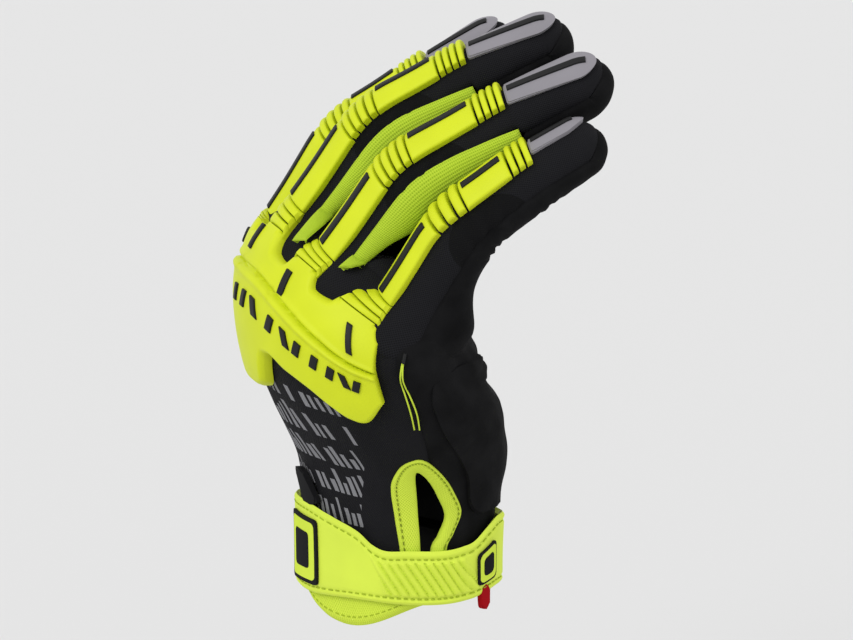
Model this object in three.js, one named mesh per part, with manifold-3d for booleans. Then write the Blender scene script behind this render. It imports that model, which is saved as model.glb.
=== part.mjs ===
// Impact glove for the right hand, worn form: the wrist opening is at the origin, the fingers
// point up +Z and curl towards the palm side +X, and the thumb side is +Y. Millimetres.
import * as THREE from "three";
import { mergeVertices } from "three/addons/utils/BufferGeometryUtils.js";
import Module from "manifold-3d";

const wasm = await Module();
wasm.setup();

// Driving dimensions of the hand
const handLength = 100; // wrist opening to the middle of the knuckle row
const handBreadth = 88; // across the knuckles
const handDepth = 40; // back to palm in the middle of the hand
const backRoundness = 0.9; // power of the section's back curve, 1 is an ellipse
const palmRoundness = 0.75;

// Driving dimensions of the digits
const fingerLength = 100; // knuckle to tip of the middle finger
const fingerBreadth = 20; // across the middle joint of a finger
const fingerDepth = 22; // back to palm at the middle joint of a finger
const thumbLength = 100;
const thumbBreadth = 23;
const jointBend = 16; // length over which a knuckle bends

// Walls and fits
const clearance = 0.3;
const fabricWall = 1.8;
const cuffWall = 2.2;
const guardThickness = 2.6; // moulded rubber over the fingers
const plateThickness = 3.4; // moulded rubber over the knuckles
const plateInside = 0.7; // from the fabric to the underside of the plate
const bandThickness = 4.4; // lower band of the knuckle plate
const grooveDepth = 1.5; // flex grooves between the ridges
const ridgePitch = 2.5; // spacing of the flex ridges
const stripThickness = 0.8;
const tipPanelThickness = 1;
const strapThickness = 2;
const patchThickness = 1;
const bindingThickness = 2.8;
const heelPadThickness = 1.2;
const pipingHeight = 0.7;

// Heights above the wrist opening
const cuffTop = 14;
const cuffBottom = 4.8;
const cuffTabDrop = 8.6;
const prongLength = 6; // ridged prongs of the knuckle plate
const slitBottom = 12;
const slitHeight = 35;
const slitBindingWidth = 4.8;
const slitGap = 0.5;

const colours = {
  rubber: 0xd6e22d,
  cuff: 0xdcf055,
  mesh: 0xb9d73c,
  fabric: 0x1e1e22,
  leather: 0x141516,
  strip: 0x17181a,
  reflective: 0x969398,
  red: 0xaa000f,
};

function material(colour, roughness, metalness = 0) {
  return new THREE.MeshStandardMaterial({ color: colour, roughness, metalness });
}

const rubber = material(colours.rubber, 0.55);
const cuffKnit = material(colours.cuff, 0.8);
const mesh = material(colours.mesh, 0.9);
const fabric = material(colours.fabric, 0.85);
const leather = material(colours.leather, 0.7);
const blackRubber = material(colours.strip, 0.5);
const reflective = material(colours.reflective, 0.4, 0.2);
const redTab = material(colours.red, 0.7);

const degrees = Math.PI / 180;
const lerp = (a, b, t) => a + (b - a) * t;

function smoothStep(t) {
  const u = Math.min(Math.max(t, 0), 1);
  return u * u * (3 - 2 * u);
}

function bend(share, roundness) {
  return Math.sign(share) * Math.abs(share) ** roundness;
}

// Smooth value of one column of a table at a place along its key column
function column(table, key, name, at) {
  const last = table.length - 1;
  let i = 0;
  while (i < last - 1 && at > table[i + 1][key]) i += 1;
  const slope = (k) => {
    const low = table[Math.max(k - 1, 0)];
    const high = table[Math.min(k + 1, last)];
    return (high[name] - low[name]) / (high[key] - low[key]);
  };
  const span = table[i + 1][key] - table[i][key];
  const t = Math.min(Math.max((at - table[i][key]) / span, 0), 1);
  const rise = t * t * (3 - 2 * t);
  const start = t * (1 - t) * (1 - t) * span * slope(i);
  const end = t * t * (t - 1) * span * slope(i + 1);
  return lerp(table[i][name], table[i + 1][name], rise) + start + end;
}

// Sections of the hand. up is a share of the hand length; palmward, back, palm and cup are
// shares of the hand depth; thumbward and half are shares of the breadth; bow is a share of
// the length; pitch, slope and turn are degrees.
const handSections = [
  { up: -0.08, palmward: 0.02, thumbward: 0, half: 0.36, back: 0.57, palm: 0.57,
    cup: 0, bow: 0, pitch: 0, slope: 0, turn: 20 },
  { up: 0.14, palmward: 0.02, thumbward: 0, half: 0.355, back: 0.565, palm: 0.57,
    cup: 0, bow: 0, pitch: 0, slope: 0, turn: 20 },
  { up: 0.3, palmward: 0.02, thumbward: 0, half: 0.36, back: 0.58, palm: 0.6,
    cup: 0, bow: 0, pitch: 0, slope: 0, turn: 19 },
  { up: 0.42, palmward: 0, thumbward: -0.01, half: 0.385, back: 0.63, palm: 0.64,
    cup: 0.02, bow: 0, pitch: 0, slope: 1, turn: 17 },
  { up: 0.55, palmward: -0.1, thumbward: -0.03, half: 0.43, back: 0.7, palm: 0.67,
    cup: 0.05, bow: 0, pitch: 0, slope: 3, turn: 15 },
  { up: 0.68, palmward: -0.22, thumbward: -0.05, half: 0.475, back: 0.74, palm: 0.67,
    cup: 0.1, bow: 0.01, pitch: 2, slope: 6, turn: 13 },
  { up: 0.8, palmward: -0.36, thumbward: -0.06, half: 0.5, back: 0.66, palm: 0.7,
    cup: 0.14, bow: 0.03, pitch: 6, slope: 10, turn: 12 },
  { up: 0.9, palmward: -0.45, thumbward: -0.07, half: 0.51, back: 0.56, palm: 0.9,
    cup: 0.17, bow: 0.05, pitch: 10, slope: 13, turn: 11 },
  { up: 0.99, palmward: -0.44, thumbward: -0.07, half: 0.505, back: 0.48, palm: 0.9,
    cup: 0.18, bow: 0.06, pitch: 15, slope: 15, turn: 11 },
  { up: 1.05, palmward: -0.38, thumbward: -0.07, half: 0.495, back: 0.38, palm: 0.66,
    cup: 0.18, bow: 0.07, pitch: 20, slope: 15, turn: 11 },
  { up: 1.085, palmward: -0.34, thumbward: -0.07, half: 0.475, back: 0.25, palm: 0.45,
    cup: 0.18, bow: 0.07, pitch: 22, slope: 15, turn: 11 },
];
const handEnd = handSections.at(-1).up * handLength;
const handShoulder = handSections.at(-3).up * handLength;

// Point of the hand's skin: up is a height in mm, around is degrees from the middle of the
// back over the little-finger side, and height is the distance out from the skin.
function handPoint(up, around, height) {
  const share = up / handLength;
  const at = (name) => column(handSections, "up", name, share);
  const angle = around * degrees;
  const palmShare = smoothStep(0.5 - 0.9 * Math.cos(angle));
  const roundness = lerp(backRoundness, palmRoundness, palmShare);
  const side = bend(Math.sin(angle), roundness);
  const out = bend(Math.cos(angle), roundness);
  const depth = (out > 0 ? at("back") : at("palm")) * handDepth + height;
  const half = at("half") * handBreadth + height;
  const forward = height * smoothStep((up - handShoulder) / (handEnd - handShoulder));
  const local = new THREE.Vector3(
    -out * depth + at("cup") * handDepth * side * side,
    -side * half,
    forward - at("bow") * handLength * side * side,
  );
  local.applyAxisAngle(new THREE.Vector3(0, 1, 0), at("pitch") * degrees);
  local.applyAxisAngle(new THREE.Vector3(1, 0, 0), at("slope") * degrees);
  local.applyAxisAngle(new THREE.Vector3(0, 0, 1), at("turn") * degrees);
  local.x += at("palmward") * handDepth;
  local.y += at("thumbward") * handBreadth;
  local.z += up;
  return local;
}

// Digits. palmward, thumbward and up place the knuckle as shares of the hand's depth, breadth
// and length; first, second and third are the bones as shares of the digit's length; length,
// breadth and depth are in mm; pitches are degrees from straight up.
const digits = [
  { name: "index", palmward: -0.575, thumbward: 0.3, up: 0.99, lean: 7, twist: -9,
    length: fingerLength * 0.98, breadth: fingerBreadth, depth: fingerDepth,
    first: 0.41, second: 0.26, third: 0.33, pitches: [29, 54, 54] },
  { name: "middle", palmward: -0.56, thumbward: 0.055, up: 1.06, lean: 11, twist: -8,
    length: fingerLength, breadth: fingerBreadth, depth: fingerDepth,
    first: 0.39, second: 0.27, third: 0.34, pitches: [30, 57, 62] },
  { name: "ring", palmward: -0.51, thumbward: -0.185, up: 0.955, lean: 14, twist: -4,
    length: fingerLength * 1.01, breadth: fingerBreadth, depth: fingerDepth,
    first: 0.37, second: 0.27, third: 0.36, pitches: [30, 57, 61] },
  { name: "little", palmward: -0.275, thumbward: -0.42, up: 0.84, lean: 15, twist: 2,
    length: fingerLength * 0.83, breadth: fingerBreadth * 0.9, depth: fingerDepth * 0.9,
    first: 0.45, second: 0.25, third: 0.3, pitches: [28, 53, 60] },
];
const thumb = { name: "thumb", palmward: 0.12, thumbward: 0.14, up: 0.28, lean: -36, twist: -55,
  length: thumbLength, breadth: thumbBreadth, depth: thumbBreadth,
  first: 0.42, second: 0.28, third: 0.3, pitches: [10, 18, 28] };

// Girth of a digit along its length, as shares of its breadth and depth at the middle joint
const girth = [
  { along: -0.2, breadth: 1.02, depth: 1.1 },
  { along: 0, breadth: 1.02, depth: 1.1 },
  { along: 0.2, breadth: 1.01, depth: 1.02 },
  { along: 0.4, breadth: 1, depth: 1 },
  { along: 0.55, breadth: 0.95, depth: 0.92 },
  { along: 0.7, breadth: 0.93, depth: 0.9 },
  { along: 0.85, breadth: 0.9, depth: 0.86 },
  { along: 1, breadth: 0.86, depth: 0.8 },
];
const thumbGirth = [
  { along: -0.2, breadth: 1.4, depth: 1.4 },
  { along: 0, breadth: 1.4, depth: 1.4 },
  { along: 0.2, breadth: 1.32, depth: 1.32 },
  { along: 0.4, breadth: 1.15, depth: 1.14 },
  { along: 0.55, breadth: 1.04, depth: 1.03 },
  { along: 0.7, breadth: 0.98, depth: 0.96 },
  { along: 0.85, breadth: 0.93, depth: 0.9 },
  { along: 1, breadth: 0.86, depth: 0.8 },
];
const tipShare = 0.1; // length of the rounded tip, as a share of the digit

// Middle line of a digit, stepped along its length
function digitLine(digit) {
  const lean = digit.lean * degrees;
  const twist = digit.twist * degrees;
  const upright = new THREE.Vector3(0, -Math.sin(lean), Math.cos(lean));
  const curl = new THREE.Vector3(Math.cos(twist), Math.sin(twist), 0);
  curl.addScaledVector(upright, -curl.dot(upright)).normalize();
  const knuckle = new THREE.Vector3(
    digit.palmward * handDepth,
    digit.thumbward * handBreadth,
    digit.up * handLength,
  );
  const joints = [digit.first * digit.length, (digit.first + digit.second) * digit.length];
  const pitchAt = (along) => {
    const [root, middle, end] = digit.pitches;
    const one = smoothStep((along - joints[0]) / jointBend + 0.5);
    const two = smoothStep((along - joints[1]) / jointBend + 0.5);
    return (root + (middle - root) * one + (end - middle) * two) * degrees;
  };
  const direction = (along) => {
    const pitch = pitchAt(along);
    return upright.clone().multiplyScalar(Math.cos(pitch)).addScaledVector(curl, Math.sin(pitch));
  };
  const steps = Math.ceil(digit.length);
  const step = digit.length / steps;
  const points = [knuckle.clone()];
  for (let i = 0; i < steps; i += 1) {
    points.push(points[i].clone().addScaledVector(direction((i + 0.5) * step), step));
  }
  const frame = (along) => {
    const forward = direction(along);
    const pitch = pitchAt(along);
    const back = upright.clone().multiplyScalar(Math.sin(pitch)).addScaledVector(curl, -Math.cos(pitch));
    const place = Math.min(Math.max(along / step, 0), steps);
    const i = Math.min(Math.floor(place), steps - 1);
    const centre = points[i].clone().lerp(points[i + 1], place - i);
    if (along < 0) centre.addScaledVector(forward, along);
    return { centre, forward, back, side: forward.clone().cross(back) };
  };
  return frame;
}

const frames = new Map();
for (const digit of [...digits, thumb]) frames.set(digit.name, digitLine(digit));

// Point of a digit's skin. Past the start of the rounded tip, over is the angle by which the
// section has turned about the side axis from the back towards the tip.
function digitPoint(digit, along, around, height, over = 0) {
  const { centre, forward, back, side } = frames.get(digit.name)(along);
  const share = along / digit.length;
  const table = digit === thumb ? thumbGirth : girth;
  const deep = (column(table, "along", "depth", share) * digit.depth) / 2 + height;
  const wide = (column(table, "along", "breadth", share) * digit.breadth) / 2 + height;
  const long = tipShare * digit.length + height;
  const angle = around * degrees;
  const turn = over * degrees;
  const out = back.clone().multiplyScalar(deep * Math.cos(turn)).addScaledVector(forward, long * Math.sin(turn));
  return centre.addScaledVector(out, Math.cos(angle)).addScaledVector(side, wide * Math.sin(angle));
}

function shaped(vertices, triangles) {
  const geometry = new THREE.BufferGeometry();
  geometry.setAttribute("position", new THREE.Float32BufferAttribute(vertices, 3));
  geometry.setIndex(triangles);
  const merged = mergeVertices(geometry, 1e-4);
  const index = merged.index.array;
  const kept = [];
  for (let i = 0; i < index.length; i += 3) {
    const [a, b, c] = [index[i], index[i + 1], index[i + 2]];
    if (a !== b && b !== c && c !== a) kept.push(a, b, c);
  }
  const place = merged.attributes.position;
  let volume = 0;
  const corner = [new THREE.Vector3(), new THREE.Vector3(), new THREE.Vector3()];
  for (let i = 0; i < kept.length; i += 3) {
    corner.forEach((point, k) => point.fromBufferAttribute(place, kept[i + k]));
    volume += corner[0].dot(corner[1].clone().cross(corner[2]));
  }
  if (volume < 0) kept.reverse();
  merged.setIndex(kept);
  return merged;
}

// Closed body between two grids of points, both with the same rows and columns. In a hoop the
// last column joins the first.
function between(outer, inner, hoop = false) {
  const rows = outer.length;
  const columns = outer[0].length;
  const spans = hoop ? columns : columns - 1;
  const vertices = [];
  for (const grid of [outer, inner]) {
    for (const row of grid) for (const point of row) vertices.push(point.x, point.y, point.z);
  }
  const at = (layer, i, j) => layer * rows * columns + i * columns + (j % columns);
  const triangles = [];
  const quad = (a, b, c, d) => triangles.push(a, b, c, a, c, d);
  for (let i = 0; i < rows - 1; i += 1) {
    for (let j = 0; j < spans; j += 1) {
      quad(at(0, i, j), at(0, i + 1, j), at(0, i + 1, j + 1), at(0, i, j + 1));
      quad(at(1, i, j), at(1, i, j + 1), at(1, i + 1, j + 1), at(1, i + 1, j));
    }
    if (hoop) continue;
    quad(at(0, i + 1, 0), at(0, i, 0), at(1, i, 0), at(1, i + 1, 0));
    quad(at(0, i, columns - 1), at(0, i + 1, columns - 1), at(1, i + 1, columns - 1), at(1, i, columns - 1));
  }
  for (let j = 0; j < spans; j += 1) {
    quad(at(0, 0, j), at(0, 0, j + 1), at(1, 0, j + 1), at(1, 0, j));
    quad(at(0, rows - 1, j + 1), at(0, rows - 1, j), at(1, rows - 1, j), at(1, rows - 1, j + 1));
  }
  return shaped(vertices, triangles);
}

// Filled body through closed rings, with a fan at each end
function filled(rings) {
  const count = rings[0].length;
  const vertices = [];
  for (const ring of rings) for (const point of ring) vertices.push(point.x, point.y, point.z);
  const middle = (ring) => {
    const sum = new THREE.Vector3();
    for (const point of ring) sum.add(point);
    return sum.divideScalar(count);
  };
  for (const ring of [rings[0], rings.at(-1)]) vertices.push(...middle(ring).toArray());
  const first = rings.length * count;
  const triangles = [];
  for (let i = 0; i < rings.length - 1; i += 1) {
    for (let j = 0; j < count; j += 1) {
      const next = (j + 1) % count;
      const [a, b] = [i * count + j, i * count + next];
      triangles.push(a, a + count, b + count, a, b + count, b);
    }
  }
  const top = (rings.length - 1) * count;
  for (let j = 0; j < count; j += 1) {
    const next = (j + 1) % count;
    triangles.push(first, j, next, first + 1, top + next, top + j);
  }
  return shaped(vertices, triangles);
}

function solid(geometry) {
  return new wasm.Manifold(new wasm.Mesh({
    numProp: 3,
    vertProperties: new Float32Array(geometry.attributes.position.array),
    triVerts: new Uint32Array(geometry.index.array),
  }));
}

function geometryOf(body) {
  const result = body.getMesh();
  const geometry = new THREE.BufferGeometry();
  geometry.setAttribute("position", new THREE.BufferAttribute(result.vertProperties, 3));
  geometry.setIndex(new THREE.BufferAttribute(result.triVerts, 1));
  return geometry;
}

const glove = new THREE.Group();

function add(name, geometry, finish) {
  const piece = geometry.toNonIndexed();
  piece.computeVertexNormals();
  const part = new THREE.Mesh(piece, finish);
  part.name = name;
  glove.add(part);
}

function steps(from, to, count) {
  return Array.from({ length: count + 1 }, (_, i) => lerp(from, to, i / count));
}

// The hand: a back panel and a palm panel, cut from one shell that the digits pass through
const handColumns = 24;
const handRowShares = [0, 0.17, 0.3, 0.43, 0.54, 0.64, 0.74, 0.83, 0.91, 0.97, 1];
const handRows = handRowShares.map((share) => lerp(cuffTop + clearance, handEnd, share));

function handRing(up, height) {
  return steps(0, 360, handColumns).slice(0, -1).map((around) => handPoint(up, around, height));
}

function handBody(height, rows = handRows) {
  return solid(filled(rows.map((up) => handRing(up, height))));
}

// Wedge from the middle of the hand out past its skin, between two places around it
function handWedge(from, to) {
  const reach = 6;
  const rows = [cuffTop - reach, ...handRows];
  const outer = rows.map((up) => steps(from, to, 16).map((around) => handPoint(up, around, reach)));
  const middle = rows.map((up) => handPoint(up, 0, reach).lerp(handPoint(up, 180, reach), 0.5));
  return solid(between(outer, outer.map((row, i) => row.map(() => middle[i]))));
}

function largest(body) {
  return body.decompose().sort((a, b) => b.volume() - a.volume())[0];
}

function digitBore(digit, from, to) {
  const rings = steps(from, to, 4).map((along) => steps(0, 360, 14).slice(0, -1)
    .map((around) => digitPoint(digit, along, around, -fabricWall)));
  return solid(filled(rings));
}

const seamLittle = 70;
const seamThumb = -88;
const boreStart = 0;
const boreEnd = 30;
const thumbBoreEnd = 66;

// Wrist slit: an arch on the little-finger side, whose edge is bound with a folded tape
const slitPlace = 65;
const slitHalfAngle = 15.5;
const slitSteps = 12;
const slitTapeAngle = slitBindingWidth / 2 / (handSections[2].half * handBreadth) / degrees;

function slitPoint(turn, widen, height) {
  const across = Math.cos(turn * degrees);
  const angle = slitHalfAngle + widen * slitTapeAngle;
  const rise = slitHeight + widen * (slitBindingWidth / 2);
  const around = slitPlace - Math.sign(across) * Math.abs(across) ** 0.7 * angle;
  return handPoint(slitBottom + rise * Math.sin(turn * degrees) ** 0.9, around, height);
}

function slitCut() {
  const reach = 7;
  const widen = 1 + (2 * slitGap) / slitBindingWidth;
  const layer = (height) => steps(0, 180, slitSteps).map((turn) => [
    handPoint(slitBottom, slitPlace, height), slitPoint(turn, widen, height),
  ]);
  return solid(between(layer(reach), layer(-reach)));
}

const innerReach = 8;
let shell = handBody(0).subtract(handBody(-fabricWall, [cuffTop - innerReach, ...handRows.slice(1)]));
for (const digit of digits) shell = shell.subtract(digitBore(digit, boreStart, boreEnd));
shell = shell.subtract(digitBore(thumb, boreStart, thumbBoreEnd)).subtract(slitCut());
const seamGap = clearance / (handBreadth / 2) / degrees;
const backPanel = shell.intersect(handWedge(seamThumb, seamLittle));
const palmPanel = shell.subtract(handWedge(seamThumb - seamGap, seamLittle + seamGap));
add("back_panel", geometryOf(largest(backPanel)), fabric);
add("palm_panel", geometryOf(largest(palmPanel)), leather);

// Knuckle plate: a moulded plate over the knuckles with a thicker lower band, and a ridged
// prong towards each finger. Angles are degrees around the hand, heights are shares of its length.
const plateOutline = [
  { around: -62, lower: 0.82, band: 0.92, upper: 1 },
  { around: -52, lower: 0.7, band: 0.925, upper: 1.005 },
  { around: -40, lower: 0.66, band: 0.93, upper: 1.005 },
  { around: -15, lower: 0.65, band: 0.935, upper: 1.015 },
  { around: -5, lower: 0.67, band: 0.935, upper: 1.01 },
  { around: 0, lower: 0.755, band: 0.93, upper: 1 },
  { around: 12, lower: 0.74, band: 0.912, upper: 1 },
  { around: 23, lower: 0.715, band: 0.893, upper: 0.995 },
  { around: 31, lower: 0.68, band: 0.88, upper: 1 },
  { around: 38, lower: 0.65, band: 0.868, upper: 1 },
  { around: 46, lower: 0.65, band: 0.86, upper: 1 },
  { around: 56, lower: 0.74, band: 0.862, upper: 1 },
];
const prongPlaces = { index: -46, middle: -12, ring: 11, little: 42 };
const prongWidth = 12.4;

function skinPatch(rows) {
  const layer = (key) => rows.map((row) => row.map((cell) => handPoint(cell.up, cell.around, cell[key])));
  return between(layer("outer"), layer("inner"));
}

function prongHalfAngle(place) {
  return prongWidth / 2 / ((handBreadth / 2) * Math.cos(place * degrees)) / degrees;
}

function plateEdge(name, around) {
  return column(plateOutline, "around", name, around) * handLength;
}

function plateBody() {
  const places = steps(plateOutline[0].around, plateOutline.at(-1).around, 20);
  const profile = places.map((around) => {
    const [lower, band, upper] = ["lower", "band", "upper"].map((name) => plateEdge(name, around));
    const rows = [
      [lower, 0.5 * bandThickness], [lower + 1.2, bandThickness],
      [lerp(lower, band, 0.5), bandThickness], [band - 1, bandThickness],
      [band, plateThickness - grooveDepth / 2], [lerp(band, upper, 0.35), plateThickness],
      [upper - 0.5, plateThickness], [upper, plateThickness - grooveDepth],
    ];
    return rows.map(([up, outer]) => ({ up, around, outer, inner: plateInside }));
  });
  let body = solid(skinPatch(profile));
  for (const digit of digits) {
    const place = prongPlaces[digit.name];
    const half = prongHalfAngle(place);
    const start = plateEdge("upper", place);
    const rise = prongLength / 3;
    const rows = [[start - 1, plateThickness - grooveDepth]];
    for (let i = 0; i < 3; i += 1) {
      rows.push([start + (i + 0.1) * rise, plateThickness - grooveDepth]);
      rows.push([start + (i + 0.35) * rise, plateThickness]);
      rows.push([start + (i + 0.85) * rise, plateThickness]);
    }
    const prong = rows.map(([up, outer]) => steps(place - half, place + half, 2)
      .map((around) => ({ up, around, outer, inner: plateInside })));
    body = body.add(solid(skinPatch(prong)));
  }
  return body;
}

add("knuckle_guard", geometryOf(plateBody()), rubber);

// Space that the plate and its prongs take up, with a fit around them
const plateSpaces = digits.map((digit) => {
  const place = prongPlaces[digit.name];
  const half = prongHalfAngle(place) + (2 * clearance) / (handBreadth / 2) / degrees;
  const start = plateEdge("upper", place);
  const outer = plateThickness + 2 * clearance;
  const rows = steps(start - prongLength, start + prongLength + clearance, 8).map((up) => (
    steps(place - half, place + half, 2).map((around) => ({ up, around, outer, inner: 0 }))
  ));
  return solid(skinPatch(rows));
});
const seatSteps = 10;
const seatRows = steps(plateOutline[0].around - 1, plateOutline.at(-1).around + 1, 20).map((around) => (
  steps(plateEdge("lower", around), plateEdge("upper", around) + clearance, seatSteps)
    .map((up) => ({ up, around, outer: bandThickness + 2 * clearance, inner: 0 }))
));
plateSpaces.push(solid(skinPatch(seatRows)));

// Each digit: a back, a palm side that wraps the tip, and mesh sides between neighbours
const sideFrom = 74;
const sideTo = 128;
const tipTurn = 62;
const handOutside = handBody(clearance);
const meshEndShare = { index: 0.62, middle: 0.66, ring: 0.66, little: 0.66 };

function digitPart(name, digit, rows, columns, finish) {
  const grid = (height) => rows.map((row) => steps(row.from, row.to, columns)
    .map((around) => digitPoint(digit, row.along, around, height, row.over)));
  let body = solid(between(grid(0), grid(-fabricWall))).subtract(handOutside);
  for (const space of plateSpaces) body = body.subtract(space);
  add(name, geometryOf(largest(body)), finish);
}

function makeDigit(digit, hasLittleSideMesh, hasThumbSideMesh) {
  const { name, length, breadth } = digit;
  const gap = clearance / (breadth / 2) / degrees;
  const seam = 90 - gap / 2;
  const start = -4;
  const meshEnd = (meshEndShare[name] ?? 0) * length;
  const tip = length * (1 - tipShare);
  const sideRows = steps(start, meshEnd, 6);
  const bareRows = steps(meshEnd + 2 * clearance, tip, digit === thumb ? 7 : 3);
  const backEdge = (has) => (has ? sideFrom - gap / 2 : seam);
  const palmEdge = (has) => (has ? 180 - sideTo - gap / 2 : seam);
  const tube = (edge, over) => [
    ...sideRows.map((along) => ({ along, over, from: -edge(hasThumbSideMesh), to: edge(hasLittleSideMesh) })),
    ...bareRows.map((along) => ({ along, over, from: -seam, to: seam })),
  ];
  const dome = (turns) => turns.map((over) => ({ along: tip, over, from: -seam, to: seam }));
  const back = [...tube(backEdge, 0), ...dome([20, 40, tipTurn - gap / 2])];
  const palm = [...tube(palmEdge, 180), ...dome([155, 130, 105, 83, tipTurn + gap / 2])];
  digitPart(`${name}_back`, digit, back, 4, fabric);
  digitPart(`${name}_palm`, digit, palm, 4, leather);
  const sides = [];
  if (hasLittleSideMesh) sides.push(["little_side", 1]);
  if (hasThumbSideMesh) sides.push(["thumb_side", -1]);
  for (const [label, sign] of sides) {
    const rows = steps(start, meshEnd - clearance, 6).map((along) => ({
      along, over: 0, from: sign * (sideFrom + gap / 2), to: sign * (sideTo - gap / 2),
    }));
    digitPart(`${name}_${label}_mesh`, digit, rows, 2, mesh);
  }
}

makeDigit(digits[0], true, false);
makeDigit(digits[1], true, true);
makeDigit(digits[2], true, true);
makeDigit(digits[3], false, true);
makeDigit(thumb, false, false);

// Raised dashes on the knuckle plate, one over each long bone of the hand
const dashLength = 5;
const dashMargin = 1;
const dashHalfAngle = 1.5;
for (const digit of digits) {
  const place = prongPlaces[digit.name] - 2;
  const base = plateThickness + clearance;
  const top = plateEdge("upper", place) - dashMargin;
  const rows = steps(top - dashLength, top, 2).map((up) => steps(place - dashHalfAngle, place + dashHalfAngle, 1)
    .map((around) => ({ up, around, outer: base + stripThickness, inner: base })));
  add(`${digit.name}_knuckle_dash`, skinPatch(rows), blackRubber);
}

// Finger guards: a moulded strip down the back of each finger, with flat pads over the bones
// and flex ridges over the joints
const guardHalfAngle = 38;
const guardStarts = { index: 11, middle: 10, ring: 11, little: 11.5 };
const kneeRidges = 3;
const endRidges = 3;

function digitPatch(digit, rows, columns) {
  const layer = (key) => rows.map((row) => steps(-row.half, row.half, columns).map((around, j) => {
    const edge = j === 0 || j === columns;
    const height = key === "outer" && edge && row.bevel ? row.bevel : row[key];
    return digitPoint(digit, row.along, around, height, row.over ?? 0);
  }));
  return between(layer("outer"), layer("inner"));
}

function ridgeRows(from, count) {
  const rows = [];
  for (let i = 0; i < count; i += 1) {
    rows.push([from + (i + 0.05) * ridgePitch, guardThickness - grooveDepth]);
    rows.push([from + (i + 0.5) * ridgePitch, guardThickness]);
  }
  rows.push([from + count * ridgePitch, guardThickness - grooveDepth]);
  return rows;
}

function jointsOf(digit) {
  const knee = digit.first * digit.length;
  const end = (digit.first + digit.second) * digit.length;
  const kneeFrom = knee - (kneeRidges * ridgePitch) / 2;
  const endFrom = end - ridgePitch;
  return {
    firstPad: [guardStarts[digit.name], kneeFrom - clearance],
    kneeFrom,
    secondPad: [kneeFrom + (kneeRidges + 0.15) * ridgePitch, endFrom - clearance],
    endFrom,
    panelStart: endFrom + (endRidges + 0.15) * ridgePitch,
  };
}

function padRows(from, to, count) {
  return steps(from, to, count).map((along) => [along, guardThickness]);
}

for (const digit of digits) {
  const places = jointsOf(digit);
  const rows = [
    ...padRows(...places.firstPad, 3), ...ridgeRows(places.kneeFrom, kneeRidges),
    ...padRows(...places.secondPad, 2), ...ridgeRows(places.endFrom, endRidges),
  ].map(([along, outer]) => ({ along, outer, inner: clearance, half: guardHalfAngle, bevel: outer * 0.6 }));
  let guard = solid(digitPatch(digit, rows, 4)).subtract(handOutside);
  for (const space of plateSpaces) guard = guard.subtract(space);
  add(`${digit.name}_guard`, geometryOf(largest(guard)), rubber);
  const stripMargin = 1.6;
  const stripHalfAngle = 7;
  for (const [label, pad] of [["first", places.firstPad], ["second", places.secondPad]]) {
    const base = guardThickness + clearance;
    const strip = steps(pad[0] + stripMargin, pad[1] - stripMargin, 3)
      .map((along) => ({ along, outer: base + stripThickness, inner: base, half: stripHalfAngle }));
    let body = solid(digitPatch(digit, strip, 1));
    for (const space of plateSpaces) body = body.subtract(space);
    add(`${digit.name}_${label}_strip`, geometryOf(largest(body)), blackRubber);
  }
  const tip = digit.length * (1 - tipShare);
  const thick = { outer: clearance + tipPanelThickness, inner: clearance };
  const panel = [
    ...steps(places.panelStart, tip, 2).map((along) => ({ along, half: 36, ...thick })),
    { along: tip, over: 22, half: 33, ...thick }, { along: tip, over: 38, half: 20, ...thick },
  ];
  add(`${digit.name}_tip_panel`, digitPatch(digit, panel, 4), reflective);
  const tipBase = 2 * clearance + tipPanelThickness;
  const tipStrip = steps(places.panelStart + stripMargin, tip, 2)
    .map((along) => ({ along, outer: tipBase + stripThickness, inner: tipBase, half: stripHalfAngle }));
  add(`${digit.name}_tip_strip`, digitPatch(digit, tipStrip, 1), blackRubber);
}

// Cuff: a knitted hoop with a rounded tab on the back that hangs below the strap
const cuffOutside = 0.6;
const tabPlace = 8;
const tabHalfAngle = 62;
const fullTurn = 360;

function cuffBody() {
  const places = steps(0, 360, 26).slice(0, -1);
  const bottomAt = (around) => {
    const turned = ((around - tabPlace + 1.5 * fullTurn) % fullTurn) - fullTurn / 2;
    const share = Math.min(Math.abs(turned) / tabHalfAngle, 1);
    return cuffBottom - cuffTabDrop * Math.cos((share * Math.PI) / 2) ** 2;
  };
  const layer = (height) => [0, 0.5, 1].map((share) => places
    .map((around) => handPoint(lerp(bottomAt(around), cuffTop, share), around, height)));
  return solid(between(layer(cuffOutside), layer(cuffOutside - cuffWall), true)).subtract(slitCut());
}

add("cuff", geometryOf(cuffBody()), cuffKnit);

// Slit binding: a tape folded over the edge of the wrist slit
const bindingOutside = 1;
const tapeLayer = (height) => steps(0, 180, slitSteps)
  .map((turn) => [-1, 0, 1].map((widen) => slitPoint(turn, widen, height)));
add("slit_binding", between(tapeLayer(bindingOutside), tapeLayer(bindingOutside - bindingThickness)), cuffKnit);

// Wrist strap: a wide strap over the cuff, higher on the back. Its places are degrees around
// the wrist and its edges are shares of the hand's length.
const strapEdges = [
  { around: -100, bottom: 0.03, top: 0.25 },
  { around: -60, bottom: 0.02, top: 0.28 },
  { around: -16, bottom: 0.02, top: 0.295 },
  { around: 10, bottom: 0.045, top: 0.26 },
  { around: 28, bottom: 0.05, top: 0.225 },
  { around: 46, bottom: 0.05, top: 0.205 },
  { around: 90, bottom: 0.05, top: 0.205 },
  { around: 112, bottom: 0.045, top: 0.27 },
  { around: 150, bottom: 0.04, top: 0.26 },
  { around: 215, bottom: 0.04, top: 0.25 },
];
const strapInside = bindingOutside + clearance;
const strapOutside = strapInside + strapThickness;

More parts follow.
